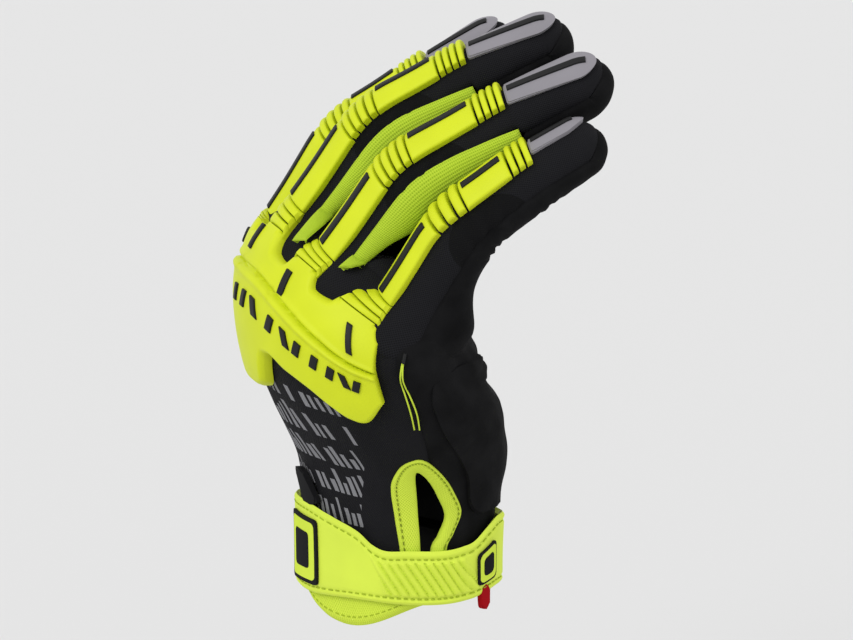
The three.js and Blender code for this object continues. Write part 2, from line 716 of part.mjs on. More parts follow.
function strapPatch(from, to, columns, shares, inner, outer, edges = strapEdges) {
  const rows = steps(from, to, columns).map((around) => {
    const bottom = column(edges, "around", "bottom", around) * handLength;
    const top = column(edges, "around", "top", around) * handLength;
    return shares.map((share) => ({ up: lerp(bottom, top, share), around, inner, outer }));
  });
  return skinPatch(rows);
}

add("wrist_strap", strapPatch(strapEdges[0].around, strapEdges.at(-1).around, 28, [0, 0.5, 1], strapInside, strapOutside), cuffKnit);
const patchInside = strapOutside + clearance;
const patchOutside = patchInside + patchThickness;
add("back_patch", strapPatch(-34, -6, 4, [0.1, 0.5, 0.86], patchInside, patchOutside), fabric);
add("palm_patch", strapPatch(94, 108, 2, [0.2, 0.5, 0.75], patchInside, patchOutside), fabric);

function handPatch(name, table, inner, outer, columns, finish) {
  const rows = table.map((row) => steps(row.from, row.to, columns)
    .map((around) => ({ up: row.up * handLength, around, inner, outer })));
  add(name, skinPatch(rows), finish);
}

// Pull tab: a red tape that hangs from the strap's lower edge at the palm
handPatch("red_pull_tab", [
  { up: -0.02, from: 97, to: 102 }, { up: 0, from: 96, to: 103 }, { up: 0.041, from: 96.5, to: 102.5 },
], strapInside, strapOutside, 2, redTab);

// Wrist pull tab: a folded tape that stands at the back of the wrist above the strap
handPatch("wrist_pull_tab", [
  { up: 0.305, from: -21, to: -9 }, { up: 0.34, from: -22, to: -12 }, { up: 0.385, from: -25, to: -17 },
], plateInside, plateInside + strapThickness, 2, fabric);

// Side piping over the seam between the back panel and the palm panel
handPatch("side_piping", [
  { up: 0.63, from: 66.5, to: 68 }, { up: 0.74, from: 68, to: 70 },
  { up: 0.85, from: 69, to: 71.5 }, { up: 0.96, from: 69.5, to: 71 },
], clearance, clearance + pipingHeight, 1, cuffKnit);

// Heel pad: a second layer of leather over the heel of the palm
const heelRows = [
  { up: 0.3, from: 92, to: 150 }, { up: 0.47, from: 90, to: 150 }, { up: 0.62, from: 80, to: 150 },
  { up: 0.76, from: 80, to: 148 }, { up: 0.88, from: 88, to: 144 }, { up: 0.95, from: 104, to: 136 },
].map((row) => steps(row.from, row.to, 8).map((around) => (
  { up: row.up * handLength, around, inner: -heelPadThickness, outer: clearance + heelPadThickness }
)));
add("palm_heel_pad", geometryOf(largest(solid(skinPatch(heelRows)).subtract(handOutside))), leather);

export default glove;
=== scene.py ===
import bmesh
import bpy
import numpy as np
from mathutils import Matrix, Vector
from mathutils.bvhtree import BVHTree


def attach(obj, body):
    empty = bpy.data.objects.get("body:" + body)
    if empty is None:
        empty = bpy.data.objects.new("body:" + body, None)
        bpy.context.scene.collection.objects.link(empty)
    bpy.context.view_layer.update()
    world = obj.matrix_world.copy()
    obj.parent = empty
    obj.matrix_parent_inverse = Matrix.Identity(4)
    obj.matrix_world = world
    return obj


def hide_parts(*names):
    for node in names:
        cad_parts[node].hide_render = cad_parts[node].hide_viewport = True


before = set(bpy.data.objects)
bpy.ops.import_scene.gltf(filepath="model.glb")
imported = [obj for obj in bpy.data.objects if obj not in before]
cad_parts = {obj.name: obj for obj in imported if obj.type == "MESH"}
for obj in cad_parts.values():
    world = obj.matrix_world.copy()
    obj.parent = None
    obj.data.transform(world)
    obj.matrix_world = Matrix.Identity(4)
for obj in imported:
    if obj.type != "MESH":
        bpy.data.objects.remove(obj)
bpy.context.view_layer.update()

# Studio: the glove hangs above a pale floor, under an even pale sky with two very soft, weak
# lamps. The camera looks at the little-finger side from slightly above, as in the photograph.
def dye(red, green, blue):
    shares = [value / 255 for value in (red, green, blue)]
    return tuple(s / 12.92 if s <= 0.04045 else ((s + 0.055) / 1.055) ** 2.4 for s in shares) + (1,)


def soft_lamp(name, place, aim, spread, strength):
    lamp = bpy.data.lights.new(name, "SUN")
    lamp.angle = np.radians(spread)
    lamp.energy = strength
    stand = bpy.data.objects.new(name, lamp)
    stand.location = place
    stand.rotation_euler = (Vector(aim) - Vector(place)).to_track_quat("-Z", "Y").to_euler()
    bpy.context.collection.objects.link(stand)


floor_height = -0.16
bpy.ops.object.select_all(action="DESELECT")
bpy.ops.mesh.primitive_plane_add(size=60, location=(0, 0, floor_height))
floor = bpy.context.object
floor.name = "studio_floor"
floor_paper = bpy.data.materials.new("pale_paper")
floor_paper.use_nodes = True
floor_paper.node_tree.nodes["Principled BSDF"].inputs["Base Color"].default_value = dye(217, 217, 217)
floor_paper.node_tree.nodes["Principled BSDF"].inputs["Roughness"].default_value = 1
floor.data.materials.append(floor_paper)

sky = bpy.data.worlds.new("pale_sky")
sky.use_nodes = True
sky.node_tree.nodes["Background"].inputs["Color"].default_value = dye(230, 230, 230)
sky.node_tree.nodes["Background"].inputs["Strength"].default_value = 1
bpy.context.scene.world = sky
bpy.context.scene.view_settings.view_transform = "Standard"

middle = (0.008, -0.008, 0.084)
soft_lamp("key_lamp", (-0.9, -0.6, 0.9), middle, 35, 1.3)
soft_lamp("side_lamp", (0.9, -0.5, 0.7), middle, 50, 0.5)

camera_lens = bpy.data.cameras.new("camera")
camera_lens.lens = 93.27
camera_lens.sensor_width = 36
camera = bpy.data.objects.new("camera", camera_lens)
camera.location = (-0.2109, -0.6095, 0.1969)
camera.rotation_euler = (Vector(middle) - camera.location).to_track_quat("-Z", "Y").to_euler()
bpy.context.collection.objects.link(camera)
bpy.context.scene.camera = camera

# Back panel: one cut of black stretch cloth over the back of the hand, from the cuff to the
# finger roots, printed grey at the wrist. It is cut to the form of a half-closed hand, so the
# form comes first: rows of sections for the hand, and a middle line for each digit.
hand_length = 100
hand_breadth = 88
hand_depth = 40
back_roundness = 0.9
palm_roundness = 0.75
# In a section, up and bow are shares of the hand's length, palmward, back, palm and cup shares of
# its depth, thumbward and half shares of its breadth, and pitch, slope and turn are degrees.
hand_sections = [
    dict(up=-0.08, palmward=0.02, thumbward=0, half=0.36, back=0.57, palm=0.57,
         cup=0, bow=0, pitch=0, slope=0, turn=20),
    dict(up=0.14, palmward=0.02, thumbward=0, half=0.355, back=0.565, palm=0.57,
         cup=0, bow=0, pitch=0, slope=0, turn=20),
    dict(up=0.3, palmward=0.02, thumbward=0, half=0.36, back=0.58, palm=0.6,
         cup=0, bow=0, pitch=0, slope=0, turn=19),
    dict(up=0.42, palmward=0, thumbward=-0.01, half=0.385, back=0.63, palm=0.64,
         cup=0.02, bow=0, pitch=0, slope=1, turn=17),
    dict(up=0.55, palmward=-0.1, thumbward=-0.03, half=0.43, back=0.7, palm=0.67,
         cup=0.05, bow=0, pitch=0, slope=3, turn=15),
    dict(up=0.68, palmward=-0.22, thumbward=-0.05, half=0.475, back=0.74, palm=0.67,
         cup=0.1, bow=0.01, pitch=2, slope=6, turn=13),
    dict(up=0.8, palmward=-0.36, thumbward=-0.06, half=0.5, back=0.66, palm=0.7,
         cup=0.14, bow=0.03, pitch=6, slope=10, turn=12),
    dict(up=0.9, palmward=-0.45, thumbward=-0.07, half=0.51, back=0.56, palm=0.9,
         cup=0.17, bow=0.05, pitch=10, slope=13, turn=11),
    dict(up=0.99, palmward=-0.44, thumbward=-0.07, half=0.505, back=0.48, palm=0.9,
         cup=0.18, bow=0.06, pitch=15, slope=15, turn=11),
    dict(up=1.05, palmward=-0.38, thumbward=-0.07, half=0.495, back=0.38, palm=0.66,
         cup=0.18, bow=0.07, pitch=20, slope=15, turn=11),
    dict(up=1.085, palmward=-0.34, thumbward=-0.07, half=0.475, back=0.25, palm=0.45,
         cup=0.18, bow=0.07, pitch=22, slope=15, turn=11),
]
hand_end = hand_sections[-1]["up"] * hand_length
hand_shoulder = hand_sections[-3]["up"] * hand_length


def between(low, high, share):
    return low + (high - low) * share


def ease(share):
    share = np.clip(share, 0, 1)
    return share * share * (3 - 2 * share)


def bell(offset, width):
    return np.exp(-(offset / width) ** 2)


def along_table(table, key, name, at):
    # the smooth value of one column of a table, at a place along its key column
    keys = np.array([row[key] for row in table], float)
    values = np.array([row[name] for row in table], float)
    at = np.asarray(at, float)
    last = len(keys) - 1
    i = np.clip(np.searchsorted(keys, at, side="left") - 1, 0, last - 1)
    below = np.maximum(np.arange(last + 1) - 1, 0)
    above = np.minimum(np.arange(last + 1) + 1, last)
    slopes = (values[above] - values[below]) / (keys[above] - keys[below])
    span = keys[i + 1] - keys[i]
    t = np.clip((at - keys[i]) / span, 0, 1)
    ends = t * (1 - t) ** 2 * span * slopes[i] + t * t * (t - 1) * span * slopes[i + 1]
    return between(values[i], values[i + 1], ease(t)) + ends


def hand_skin(up, around, height=0):
    # around is in degrees from the middle of the back over the little-finger side, the rest in mm
    up, around, height = np.broadcast_arrays(*[np.asarray(v, float) for v in (up, around, height)])
    share = up / hand_length
    row = {name: along_table(hand_sections, "up", name, share) for name in hand_sections[0]}
    angle = np.radians(around)
    roundness = between(back_roundness, palm_roundness, ease(0.5 - 0.9 * np.cos(angle)))
    side = np.sign(np.sin(angle)) * np.abs(np.sin(angle)) ** roundness
    out = np.sign(np.cos(angle)) * np.abs(np.cos(angle)) ** roundness
    depth = np.where(out > 0, row["back"], row["palm"]) * hand_depth + height
    half = row["half"] * hand_breadth + height
    forward = height * ease((up - hand_shoulder) / (hand_end - hand_shoulder))
    x = -out * depth + row["cup"] * hand_depth * side ** 2
    y = -side * half
    z = forward - row["bow"] * hand_length * side ** 2
    pitch, slope, turn = (np.radians(row[name]) for name in ("pitch", "slope", "turn"))
    x, z = x * np.cos(pitch) + z * np.sin(pitch), -x * np.sin(pitch) + z * np.cos(pitch)
    y, z = y * np.cos(slope) - z * np.sin(slope), y * np.sin(slope) + z * np.cos(slope)
    x, y = x * np.cos(turn) - y * np.sin(turn), x * np.sin(turn) + y * np.cos(turn)
    x = x + row["palmward"] * hand_depth
    y = y + row["thumbward"] * hand_breadth
    return np.stack([x, y, z + up], axis=-1)


finger_breadth = 20
joint_bend = 16
tip_share = 0.1
# A digit's root is given in the hand's shares and its size in mm. Its first two bones are shares
# of its length, and its lean, its twist and the pitch of each bone are degrees.
digits = dict(
    index=dict(palmward=-0.575, thumbward=0.3, up=0.99, lean=7, twist=-9, length=98,
               breadth=20, depth=22, first=0.41, second=0.26, pitches=(29, 54, 54)),
    middle=dict(palmward=-0.56, thumbward=0.055, up=1.06, lean=11, twist=-8, length=100,
                breadth=20, depth=22, first=0.39, second=0.27, pitches=(30, 57, 62)),
    ring=dict(palmward=-0.51, thumbward=-0.185, up=0.955, lean=14, twist=-4, length=101,
              breadth=20, depth=22, first=0.37, second=0.27, pitches=(30, 57, 61)),
    little=dict(palmward=-0.275, thumbward=-0.42, up=0.84, lean=15, twist=2, length=83,
                breadth=18, depth=19.8, first=0.45, second=0.25, pitches=(28, 53, 60)),
    thumb=dict(palmward=0.12, thumbward=0.14, up=0.28, lean=-36, twist=-55, length=100,
               breadth=23, depth=23, first=0.42, second=0.28, pitches=(10, 18, 28)),
)
girth = [
    dict(along=-0.2, breadth=1.02, depth=1.1), dict(along=0, breadth=1.02, depth=1.1),
    dict(along=0.2, breadth=1.01, depth=1.02), dict(along=0.4, breadth=1, depth=1),
    dict(along=0.55, breadth=0.95, depth=0.92), dict(along=0.7, breadth=0.93, depth=0.9),
    dict(along=0.85, breadth=0.9, depth=0.86), dict(along=1, breadth=0.86, depth=0.8),
]
thumb_girth = [
    dict(along=-0.2, breadth=1.4, depth=1.4), dict(along=0, breadth=1.4, depth=1.4),
    dict(along=0.2, breadth=1.32, depth=1.32), dict(along=0.4, breadth=1.15, depth=1.14),
    dict(along=0.55, breadth=1.04, depth=1.03), dict(along=0.7, breadth=0.98, depth=0.96),
    dict(along=0.85, breadth=0.93, depth=0.9), dict(along=1, breadth=0.86, depth=0.8),
]


def digit_axis(digit, along):
    joints = [digit["first"] * digit["length"], (digit["first"] + digit["second"]) * digit["length"]]
    root, middle_pitch, end = digit["pitches"]
    one = ease((along - joints[0]) / joint_bend + 0.5)
    two = ease((along - joints[1]) / joint_bend + 0.5)
    pitch = np.radians(root + (middle_pitch - root) * one + (end - middle_pitch) * two)[..., None]
    lean, twist = np.radians(digit["lean"]), np.radians(digit["twist"])
    upright = np.array([0, -np.sin(lean), np.cos(lean)])
    curl = np.array([np.cos(twist), np.sin(twist), 0])
    curl = curl - upright * curl.dot(upright)
    curl = curl / np.linalg.norm(curl)
    forward = upright * np.cos(pitch) + curl * np.sin(pitch)
    back = upright * np.sin(pitch) - curl * np.cos(pitch)
    return forward, back, np.cross(forward, back)


def tip_quarter(digit):
    # the way over one side of the rounded tip, in mm
    return 0.25 * np.pi * (tip_share * digit["length"] + 0.4 * digit["depth"])


def digit_skin(digit, travel, around, height, palm_side=False):
    # travel runs along the middle line and then over the rounded tip, all in mm
    travel, around, height = np.broadcast_arrays(
        *[np.asarray(v, float) for v in (travel, around, height)])
    length = digit["length"]
    tip = length * (1 - tip_share)
    along = np.minimum(travel, tip)
    over = np.maximum(travel - tip, 0) / tip_quarter(digit) * 90
    over = 180 - over if palm_side else over
    count = int(np.ceil(length))
    step = length / count
    forwards = digit_axis(digit, (np.arange(count) + 0.5) * step)[0]
    knuckle = np.array([digit["palmward"] * hand_depth, digit["thumbward"] * hand_breadth,
                        digit["up"] * hand_length])
    line = np.vstack([knuckle, knuckle + np.cumsum(forwards * step, axis=0)])
    forward, back, side = digit_axis(digit, along)
    place = np.clip(along / step, 0, count)
    i = np.minimum(place.astype(int), count - 1)
    centre = line[i] + (line[i + 1] - line[i]) * (place - i)[..., None]
    centre = centre + forward * np.minimum(along, 0)[..., None]
    share = along / length
    table = thumb_girth if digit is digits["thumb"] else girth
    deep = along_table(table, "along", "depth", share) * digit["depth"] / 2 + height
    wide = along_table(table, "along", "breadth", share) * digit["breadth"] / 2 + height
    long = tip_share * length + height
    turn, angle = np.radians(over), np.radians(around)
    out = back * (deep * np.cos(turn))[..., None] + forward * (long * np.sin(turn))[..., None]
    return centre + out * np.cos(angle)[..., None] + side * (wide * np.sin(angle))[..., None]


def lay(piece, place):
    # moves a piece that was cut or moulded flat, in mm, onto the form, and turns it right side out
    mesh = piece.data
    flat = np.empty(len(mesh.vertices) * 3)
    mesh.vertices.foreach_get("co", flat)
    x, y, z = flat.reshape(-1, 3).T
    laid = place(x, y, z)
    step = 1e-3
    ways = [place(x + step, y, z) - laid, place(x, y + step, z) - laid, place(x, y, z + step) - laid]
    mesh.vertices.foreach_set("co", (laid / 1000).ravel())
    if np.median(np.einsum("ij,ij->i", np.cross(ways[0], ways[1]), ways[2])) < 0:
        mesh.flip_normals()
    mesh.update()


def cut_cloth(name, width, length, step, origin=0):
    # a flat cut of cloth, width across and length up in mm. Its weave map is in mm too, and
    # starts at the given height.
    bpy.ops.object.select_all(action="DESELECT")
    columns, rows = max(int(width / step), 2), max(int(length / step), 2)
    bpy.ops.mesh.primitive_grid_add(x_subdivisions=columns, y_subdivisions=rows, size=1)
    piece = bpy.context.object
    piece.name = name
    piece.data.name = name
    weave = np.empty(len(piece.data.loops) * 2)
    piece.data.uv_layers[0].data.foreach_get("uv", weave)
    weave = (weave.reshape(-1, 2) - [0.5, 0]) * [width, length] - [0, origin]
    piece.data.uv_layers[0].data.foreach_set("uv", weave.ravel())
    return piece


def soft_folds(x, y, pitch, seed=0):
    # slack in worn cloth: a few long waves that cross, with a height from -1 to 1
    height = 0
    for i, (turn, stretch) in enumerate(((0.3, 1), (1.2, 1.6), (2.2, 2.3), (2.9, 3.1))):
        phase = x * np.cos(turn + seed) + y * np.sin(turn + seed)
        height = height + np.sin(phase * 2 * np.pi * stretch / pitch + i * 1.7 + seed) / stretch
    return height / 2.2


def form_tree(skin, columns, rows):
    # a form as a tree of faces, in which the nearest place on it can be looked up
    count = len(columns)
    faces = [(r * count + c, r * count + c + 1, (r + 1) * count + c + 1, (r + 1) * count + c)
             for r in range(len(rows) - 1) for c in range(count - 1)]
    points = skin(rows[:, None], columns[None, :]).reshape(-1, 3)
    return BVHTree.FromPolygons([Vector(p) for p in points], faces)


def middle_line(skin, places):
    # the places half way between the two sides of a form
    return [0.5 * (skin(at, 0) + skin(at, 180)) for at in places]


hand_form = form_tree(hand_skin, np.linspace(0, 360, 91), np.linspace(10, hand_end, 60))
hand_cores = middle_line(hand_skin, np.linspace(0, hand_end, 40))
roots = {name: dict(start=-2, end=45, reach=9) for name in digits}
roots["thumb"] = dict(start=8, end=85, reach=14)
digit_forms, digit_cores = {}, {}
for name, root in roots.items():
    def root_skin(travel, around, digit=digits[name]):
        return digit_skin(digit, travel, around, 0)
    digit_forms[name] = form_tree(root_skin, np.linspace(0, 360, 49),
                                  np.linspace(root["start"], root["end"], 30))
    digit_cores[name] = middle_line(root_skin, np.linspace(root["start"], root["end"], 12))
passage_depth = 4.5
farthest_root = 18


def within(point, skin_point, cores):
    # whether a place lies on the inner side of a form, beside its line of middle points
    cores = np.array(cores)
    gaps = np.linalg.norm(cores - np.array(point), axis=1)
    nearest = gaps.argmin()
    if nearest in (0, len(cores) - 1) and gaps[nearest] > np.linalg.norm(cores[1] - cores[0]):
        return False
    return gaps[nearest] < np.linalg.norm(np.array(skin_point) - cores[nearest])


def sew_roots(piece, digit_name=None, more=0):
    # rounds the corner where a digit leaves the hand, and opens the passage inside it. The little
    # finger's root takes up more of the hand where that is asked for.
    mesh = piece.data
    if digit_name:
        others = [(hand_form, hand_cores, roots[digit_name]["reach"])]
    else:
        others = [(digit_forms[name], digit_cores[name], root["reach"] + more * (name == "little"))
                  for name, root in roots.items()]
    normals = [vertex.normal.copy() for vertex in mesh.vertices]
    buried = set()
    for vertex, normal in zip(mesh.vertices, normals):
        point = vertex.co * 1000
        push = 0
        for tree, cores, reach in others:
            found, _, _, distance = tree.find_nearest(point, farthest_root)
            if found is None:
                continue
            if distance > passage_depth and within(point, found, cores):
                buried.add(vertex.index)
            if distance < reach:
                push = max(push, reach / 4 * (1 - distance / reach) ** 2)
        vertex.co += normal * push / 1000
    shape = bmesh.new()
    shape.from_mesh(mesh)
    shape.verts.ensure_lookup_table()
    bmesh.ops.delete(shape, geom=[shape.verts[i] for i in buried], context="VERTS")
    shape.to_mesh(mesh)
    shape.free()
    mesh.update()


def pick(piece):
    bpy.ops.object.select_all(action="DESELECT")
    bpy.context.view_layer.objects.active = piece
    piece.select_set(True)


def add_wall(piece, thickness):
    pick(piece)
    wall = piece.modifiers.new("wall", "SOLIDIFY")
    wall.thickness = thickness / 1000
    wall.offset = -1
    bpy.ops.object.modifier_apply(modifier=wall.name)
    bpy.ops.object.shade_smooth_by_angle(angle=np.radians(40))


def dress(piece, made, replaced=()):
    # gives a piece its material and fixes it to the glove
    piece.data.materials.clear()
    piece.data.materials.append(made)
    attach(piece, "root")
    if replaced:
        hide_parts(*replaced)


def node(tree, kind, *values, **settings):
    made = tree.nodes.new("ShaderNode" + kind)
    for key, value in settings.items():
        setattr(made, key, value)
    for socket, value in zip(made.inputs, values):
        if isinstance(value, bpy.types.NodeSocket):
            tree.links.new(value, socket)
        elif value is not None:
            socket.default_value = value
    return made


def work_out(tree, operation, *values):
    return node(tree, "Math", *values, operation=operation).outputs[0]


def weave_group():
    # two threads that cross: Height for bump, and Shade, the weave's pattern, made darker in the low gaps
    # between the threads as painted shade
    group = bpy.data.node_groups.new("crossed_threads", "ShaderNodeTree")
    for name, kind in (("Place", "NodeSocketVector"), ("Across", "NodeSocketFloat"),
                       ("Along", "NodeSocketFloat")):
        group.interface.new_socket(name, in_out="INPUT", socket_type=kind)
    for name in ("Height", "Shade"):
        group.interface.new_socket(name, in_out="OUTPUT", socket_type="NodeSocketFloat")
    inside = group.nodes.new("NodeGroupInput")
    outside = group.nodes.new("NodeGroupOutput")
    parts = node(group, "SeparateXYZ", inside.outputs["Place"])
    waves = []
    for part, pitch in zip(parts.outputs, ("Across", "Along")):
        turns = work_out(group, "DIVIDE", part, inside.outputs[pitch])
        waves.append(work_out(group, "SINE", work_out(group, "MULTIPLY", turns, 2 * np.pi)))
    height = work_out(group, "MULTIPLY", *waves)
    shade = node(group, "MapRange", height, -0.9, 0.2, 0, 1)
    group.links.new(height, outside.inputs["Height"])
    group.links.new(shade.outputs[0], outside.inputs["Shade"])
    return group


crossed_threads = weave_group()


def new_surface(name, roughness, shine):
    made = bpy.data.materials.new(name)
    made.use_nodes = True
    surface = made.node_tree.nodes["Principled BSDF"]
    surface.inputs["Roughness"].default_value = roughness
    surface.inputs["Specular IOR Level"].default_value = shine
    return made, made.node_tree, surface


def raise_bumps(tree, surface, height, strength, distance):
    bump = node(tree, "Bump", strength, distance)
    tree.links.new(height, bump.inputs["Height"])
    tree.links.new(bump.outputs[0], surface.inputs["Normal"])


def cloth(name, colour, dark, across, along, roughness, depth, turn=0, mottle=0.25):
    # woven or knitted cloth: threads that cross at the given pitches in mm, mottled slightly. The dark
    # colour is painted shade in the low gaps between the threads.
    made, tree, surface = new_surface(name, roughness, 0.08)
    turned = node(tree, "Mapping", node(tree, "UVMap").outputs[0])
    turned.inputs["Rotation"].default_value = (0, 0, np.radians(turn))
    threads = tree.nodes.new("ShaderNodeGroup")
    threads.node_tree = crossed_threads
    threads.inputs["Across"].default_value = across
    threads.inputs["Along"].default_value = along
    tree.links.new(turned.outputs[0], threads.inputs["Place"])
    spots = node(tree, "TexNoise", node(tree, "TexCoord").outputs["Object"], None, 90.0, 3.0)
    # painted shade: the dark colour where the threads lie low, blended towards the cloth's own colour where
    # they stand high
    blend = node(tree, "Mix", threads.outputs["Shade"], data_type="RGBA")
    blend.inputs[6].default_value = dark
    blend.inputs[7].default_value = colour
    patchy = node(tree, "Mix", data_type="RGBA", blend_type="MULTIPLY")
    patchy.inputs[0].default_value = mottle
    tree.links.new(blend.outputs[2], patchy.inputs[6])
    tree.links.new(spots.outputs[0], patchy.inputs[7])
    tree.links.new(patchy.outputs[2], surface.inputs["Base Color"])
    raise_bumps(tree, surface, threads.outputs["Height"], depth, 0.0004)
    return made


seam_little = 70
seam_thumb = -88
hand_scale = 0.74  # mm for each degree around the hand
lining_start = 6
lining_depth = 2.5
cuff_edge = 14.3
cuff_slope = 1.5
crown_height = 5
crown_travel = 12
crown_width = 9  # a narrower crown stays lower
fabric_wall = 1.8


def hand_cloth(left, right, relief):
    # a place function for cloth over the hand: it lines the cuff at the wrist, and past the last
    # section it rounds over to a fold
    def place(x, y, z):
        around = between(left, right, x + 0.5)
        travel = between(lining_start, hand_end + crown_travel, y + 0.5)
        up = np.minimum(travel, hand_end)
        height = z + relief(up, around) - lining_depth * ease((cuff_edge + cuff_slope - up) / cuff_slope)
        edge = hand_skin(up, around, height)
        fold = 0.5 * (edge + hand_skin(up, 180 - around, height))
        turn = np.clip((travel - hand_end) / crown_travel, 0, 1) * np.pi / 2
        laid = fold + (edge - fold) * np.cos(turn)[..., None]
        wide = np.linalg.norm(edge - fold, axis=-1)
        laid[..., 2] += crown_height * np.sin(turn) * ease(wide / crown_width)
        return laid
    return place


def stretch_cloth(name):
    return cloth(name, dye(31, 31, 34), dye(18, 18, 20), 0.8, 0.8, 0.8, 0.3)


def print_ink(made, mask, ink):
    # prints a colour on a cloth where the mask is 1
    tree = made.node_tree
    base = tree.nodes["Principled BSDF"].inputs["Base Color"]
    blend = node(tree, "Mix", mask, data_type="RGBA")
    tree.links.new(base.links[0].from_socket, blend.inputs[6])
    blend.inputs[7].default_value = ink
    tree.links.new(blend.outputs[2], base)


def print_wrist(made):
    # generic grey print at the wrist: slanted broken bars in rows, and a smooth side without it
    tree = made.node_tree
    row_pitch, bar_pitch, slant, row_shift = 9.5, 3.3, 0.3, 1.7
    row_gap, left_out, print_top = 0.1, 0.2, 62.0
    place = node(tree, "SeparateXYZ", node(tree, "UVMap").outputs[0])
    across, up = place.outputs[0], place.outputs[1]
    row = work_out(tree, "DIVIDE", up, row_pitch)
    row_number = work_out(tree, "FLOOR", row)
    row_share = work_out(tree, "FRACT", row)
    slanted = work_out(tree, "MULTIPLY_ADD", up, slant, across)
    shifted = work_out(tree, "MULTIPLY_ADD", row_number, row_shift, slanted)
    bar = work_out(tree, "DIVIDE", shifted, bar_pitch)
    cell = node(tree, "CombineXYZ", work_out(tree, "FLOOR", bar), row_number)
    chance = node(tree, "TexWhiteNoise", cell.outputs[0], noise_dimensions="3D")
    chances = node(tree, "SeparateColor", chance.outputs["Color"]).outputs
    wide = node(tree, "MapRange", chances[0], 0, 1, 0.35, 0.75).outputs[0]
    tall = node(tree, "MapRange", chances[1], 0, 1, 0.45, 0.92).outputs[0]
    smooth_from = node(tree, "MapRange", up, 24, 50, 22, 32, interpolation_type="SMOOTHSTEP").outputs[0]
    mask = work_out(tree, "LESS_THAN", work_out(tree, "FRACT", bar), wide)
    for operation, value, limit in (
        ("LESS_THAN", row_share, tall), ("GREATER_THAN", row_share, row_gap),
        ("GREATER_THAN", chances[2], left_out), ("LESS_THAN", across, smooth_from),
        ("LESS_THAN", up, print_top),
    ):
        mask = work_out(tree, "MULTIPLY", mask, work_out(tree, operation, value, limit))
    print_ink(made, mask, dye(128, 128, 132))


wrist_cloth = stretch_cloth("printed_stretch_cloth")
print_wrist(wrist_cloth)

# The loop of the wrist slit, in hundredths of its length, up from the edge at the back and over to
# the edge at the palm: heights in mm and degrees around the hand, at the tape's outer and inner edges.
slit_edges = [
    dict(turn=0, up=11, around=47, up_inside=11, around_inside=58),
    dict(turn=10, up=21, around=44.7, up_inside=21, around_inside=59),
    dict(turn=20, up=30, around=42.6, up_inside=32, around_inside=58.3),
    dict(turn=32, up=40, around=42.4, up_inside=40, around_inside=58.2),
    dict(turn=42, up=46, around=49, up_inside=44, around_inside=59),
    dict(turn=50, up=49.6, around=57, up_inside=45.8, around_inside=60.5),
    dict(turn=58, up=50.6, around=66, up_inside=45.2, around_inside=63),
    dict(turn=66, up=46.5, around=74, up_inside=42.5, around_inside=66.8),
    dict(turn=76, up=39, around=83, up_inside=37, around_inside=72.4),
    dict(turn=84, up=31.5, around=89.3, up_inside=30.5, around_inside=78.2),
    dict(turn=92, up=25, around=84, up_inside=24.5, around_inside=72),
    dict(turn=96, up=21, around=78.7, up_inside=21, around_inside=66.8),
    dict(turn=100, up=11, around=76, up_inside=11, around_inside=64),
]


def slit_path(turn, share):
    # a place on the loop, share 0 at the tape's outer edge and 1 at its inner
    outer = [along_table(slit_edges, "turn", name, turn) for name in ("up", "around")]
    inner = [along_table(slit_edges, "turn", name, turn) for name in ("up_inside", "around_inside")]
    return [between(a, b, share) for a, b in zip(outer, inner)]


def open_slit(piece, where):
    # cuts the wrist slit out of a flat cut of cloth, to an edge that the folded tape hides
    loop = np.stack(slit_path(np.linspace(0, 100, 60), 0.6), axis=-1)
    shape = bmesh.new()
    shape.from_mesh(piece.data)
    centres = np.array([face.calc_center_median() for face in shape.faces])
    up, around = where(centres[:, 0], centres[:, 1])
    inside = np.zeros(len(up), bool)
    for a, b in zip(loop, np.roll(loop, -1, axis=0)):
        crosses = (a[0] > up) != (b[0] > up)
        edge = a[1] + (up - a[0]) / (b[0] - a[0] + 1e-9) * (b[1] - a[1])
        inside ^= crosses & (around < edge)
    gone = [face for face, is_inside in zip(shape.faces, inside) if is_inside]
    bmesh.ops.delete(shape, geom=gone, context="FACES")
    shape.to_mesh(piece.data)
    shape.free()


def hand_panel(name, left, right, relief, made, replaced, more=0):
    length = hand_end + crown_travel - lining_start
    panel = cut_cloth(name, (right - left) * hand_scale, length, 1.0)
    open_slit(panel, lambda x, y: (lining_start + length * (y + 0.5), between(left, right, x + 0.5)))
    lay(panel, hand_cloth(left, right, relief))
    sew_roots(panel, more=more)
    add_wall(panel, fabric_wall)
    dress(panel, made, replaced)


def sunk_seam(around):
    return -0.5 * bell(around - seam_little, 1.2)


def back_relief(up, around):
    # slanted pulls below the knuckle plate, one sharp fold at the little finger's root, and slack
    pull_height, fold_height, slack = 0.45, 0.8, 0.3
    pulls = pull_height * np.sin(around / 4 + up / 9) * bell(up - 55, 16) * bell(around - 45, 22)
    line = up - 101 - 0.12 * (around - 62)
    fold = (fold_height * bell(line, 1.2) - fold_height * bell(line - 2.6, 1.3)) * bell(around - 66, 7)
    return sunk_seam(around) + pulls + fold + slack * soft_folds(around * 0.7, up, 19)


hand_panel("hand_back_cloth", seam_thumb, seam_little, back_relief, wrist_cloth,
           ["back_panel"])

# Palm panel: one cut of thin black synthetic leather over the palm, sewn to the back panel along
# both sides. It creases below the finger roots, because the hand is half closed.
def grained(name, colour, roughness, shine, patches, grain):
    # leather or rubber: soft patches of two shades, under a fine raised grain
    made, tree, surface = new_surface(name, roughness, shine)
    place = node(tree, "TexCoord").outputs["Object"]
    spots = node(tree, "TexNoise", place, None, patches["scale"], 2.0)
    tone = node(tree, "ValToRGB", spots.outputs[0])
    for element, end, share in zip(tone.color_ramp.elements, patches["ends"], patches["shades"]):
        element.position = end
        element.color = tuple(share * c for c in colour[:3]) + (1,)
    tree.links.new(tone.outputs[0], surface.inputs["Base Color"])
    bumps = node(tree, "TexNoise", place, None, grain["scale"], grain["detail"])
    raise_bumps(tree, surface, bumps.outputs[0], grain["strength"], grain["height"])
    return made


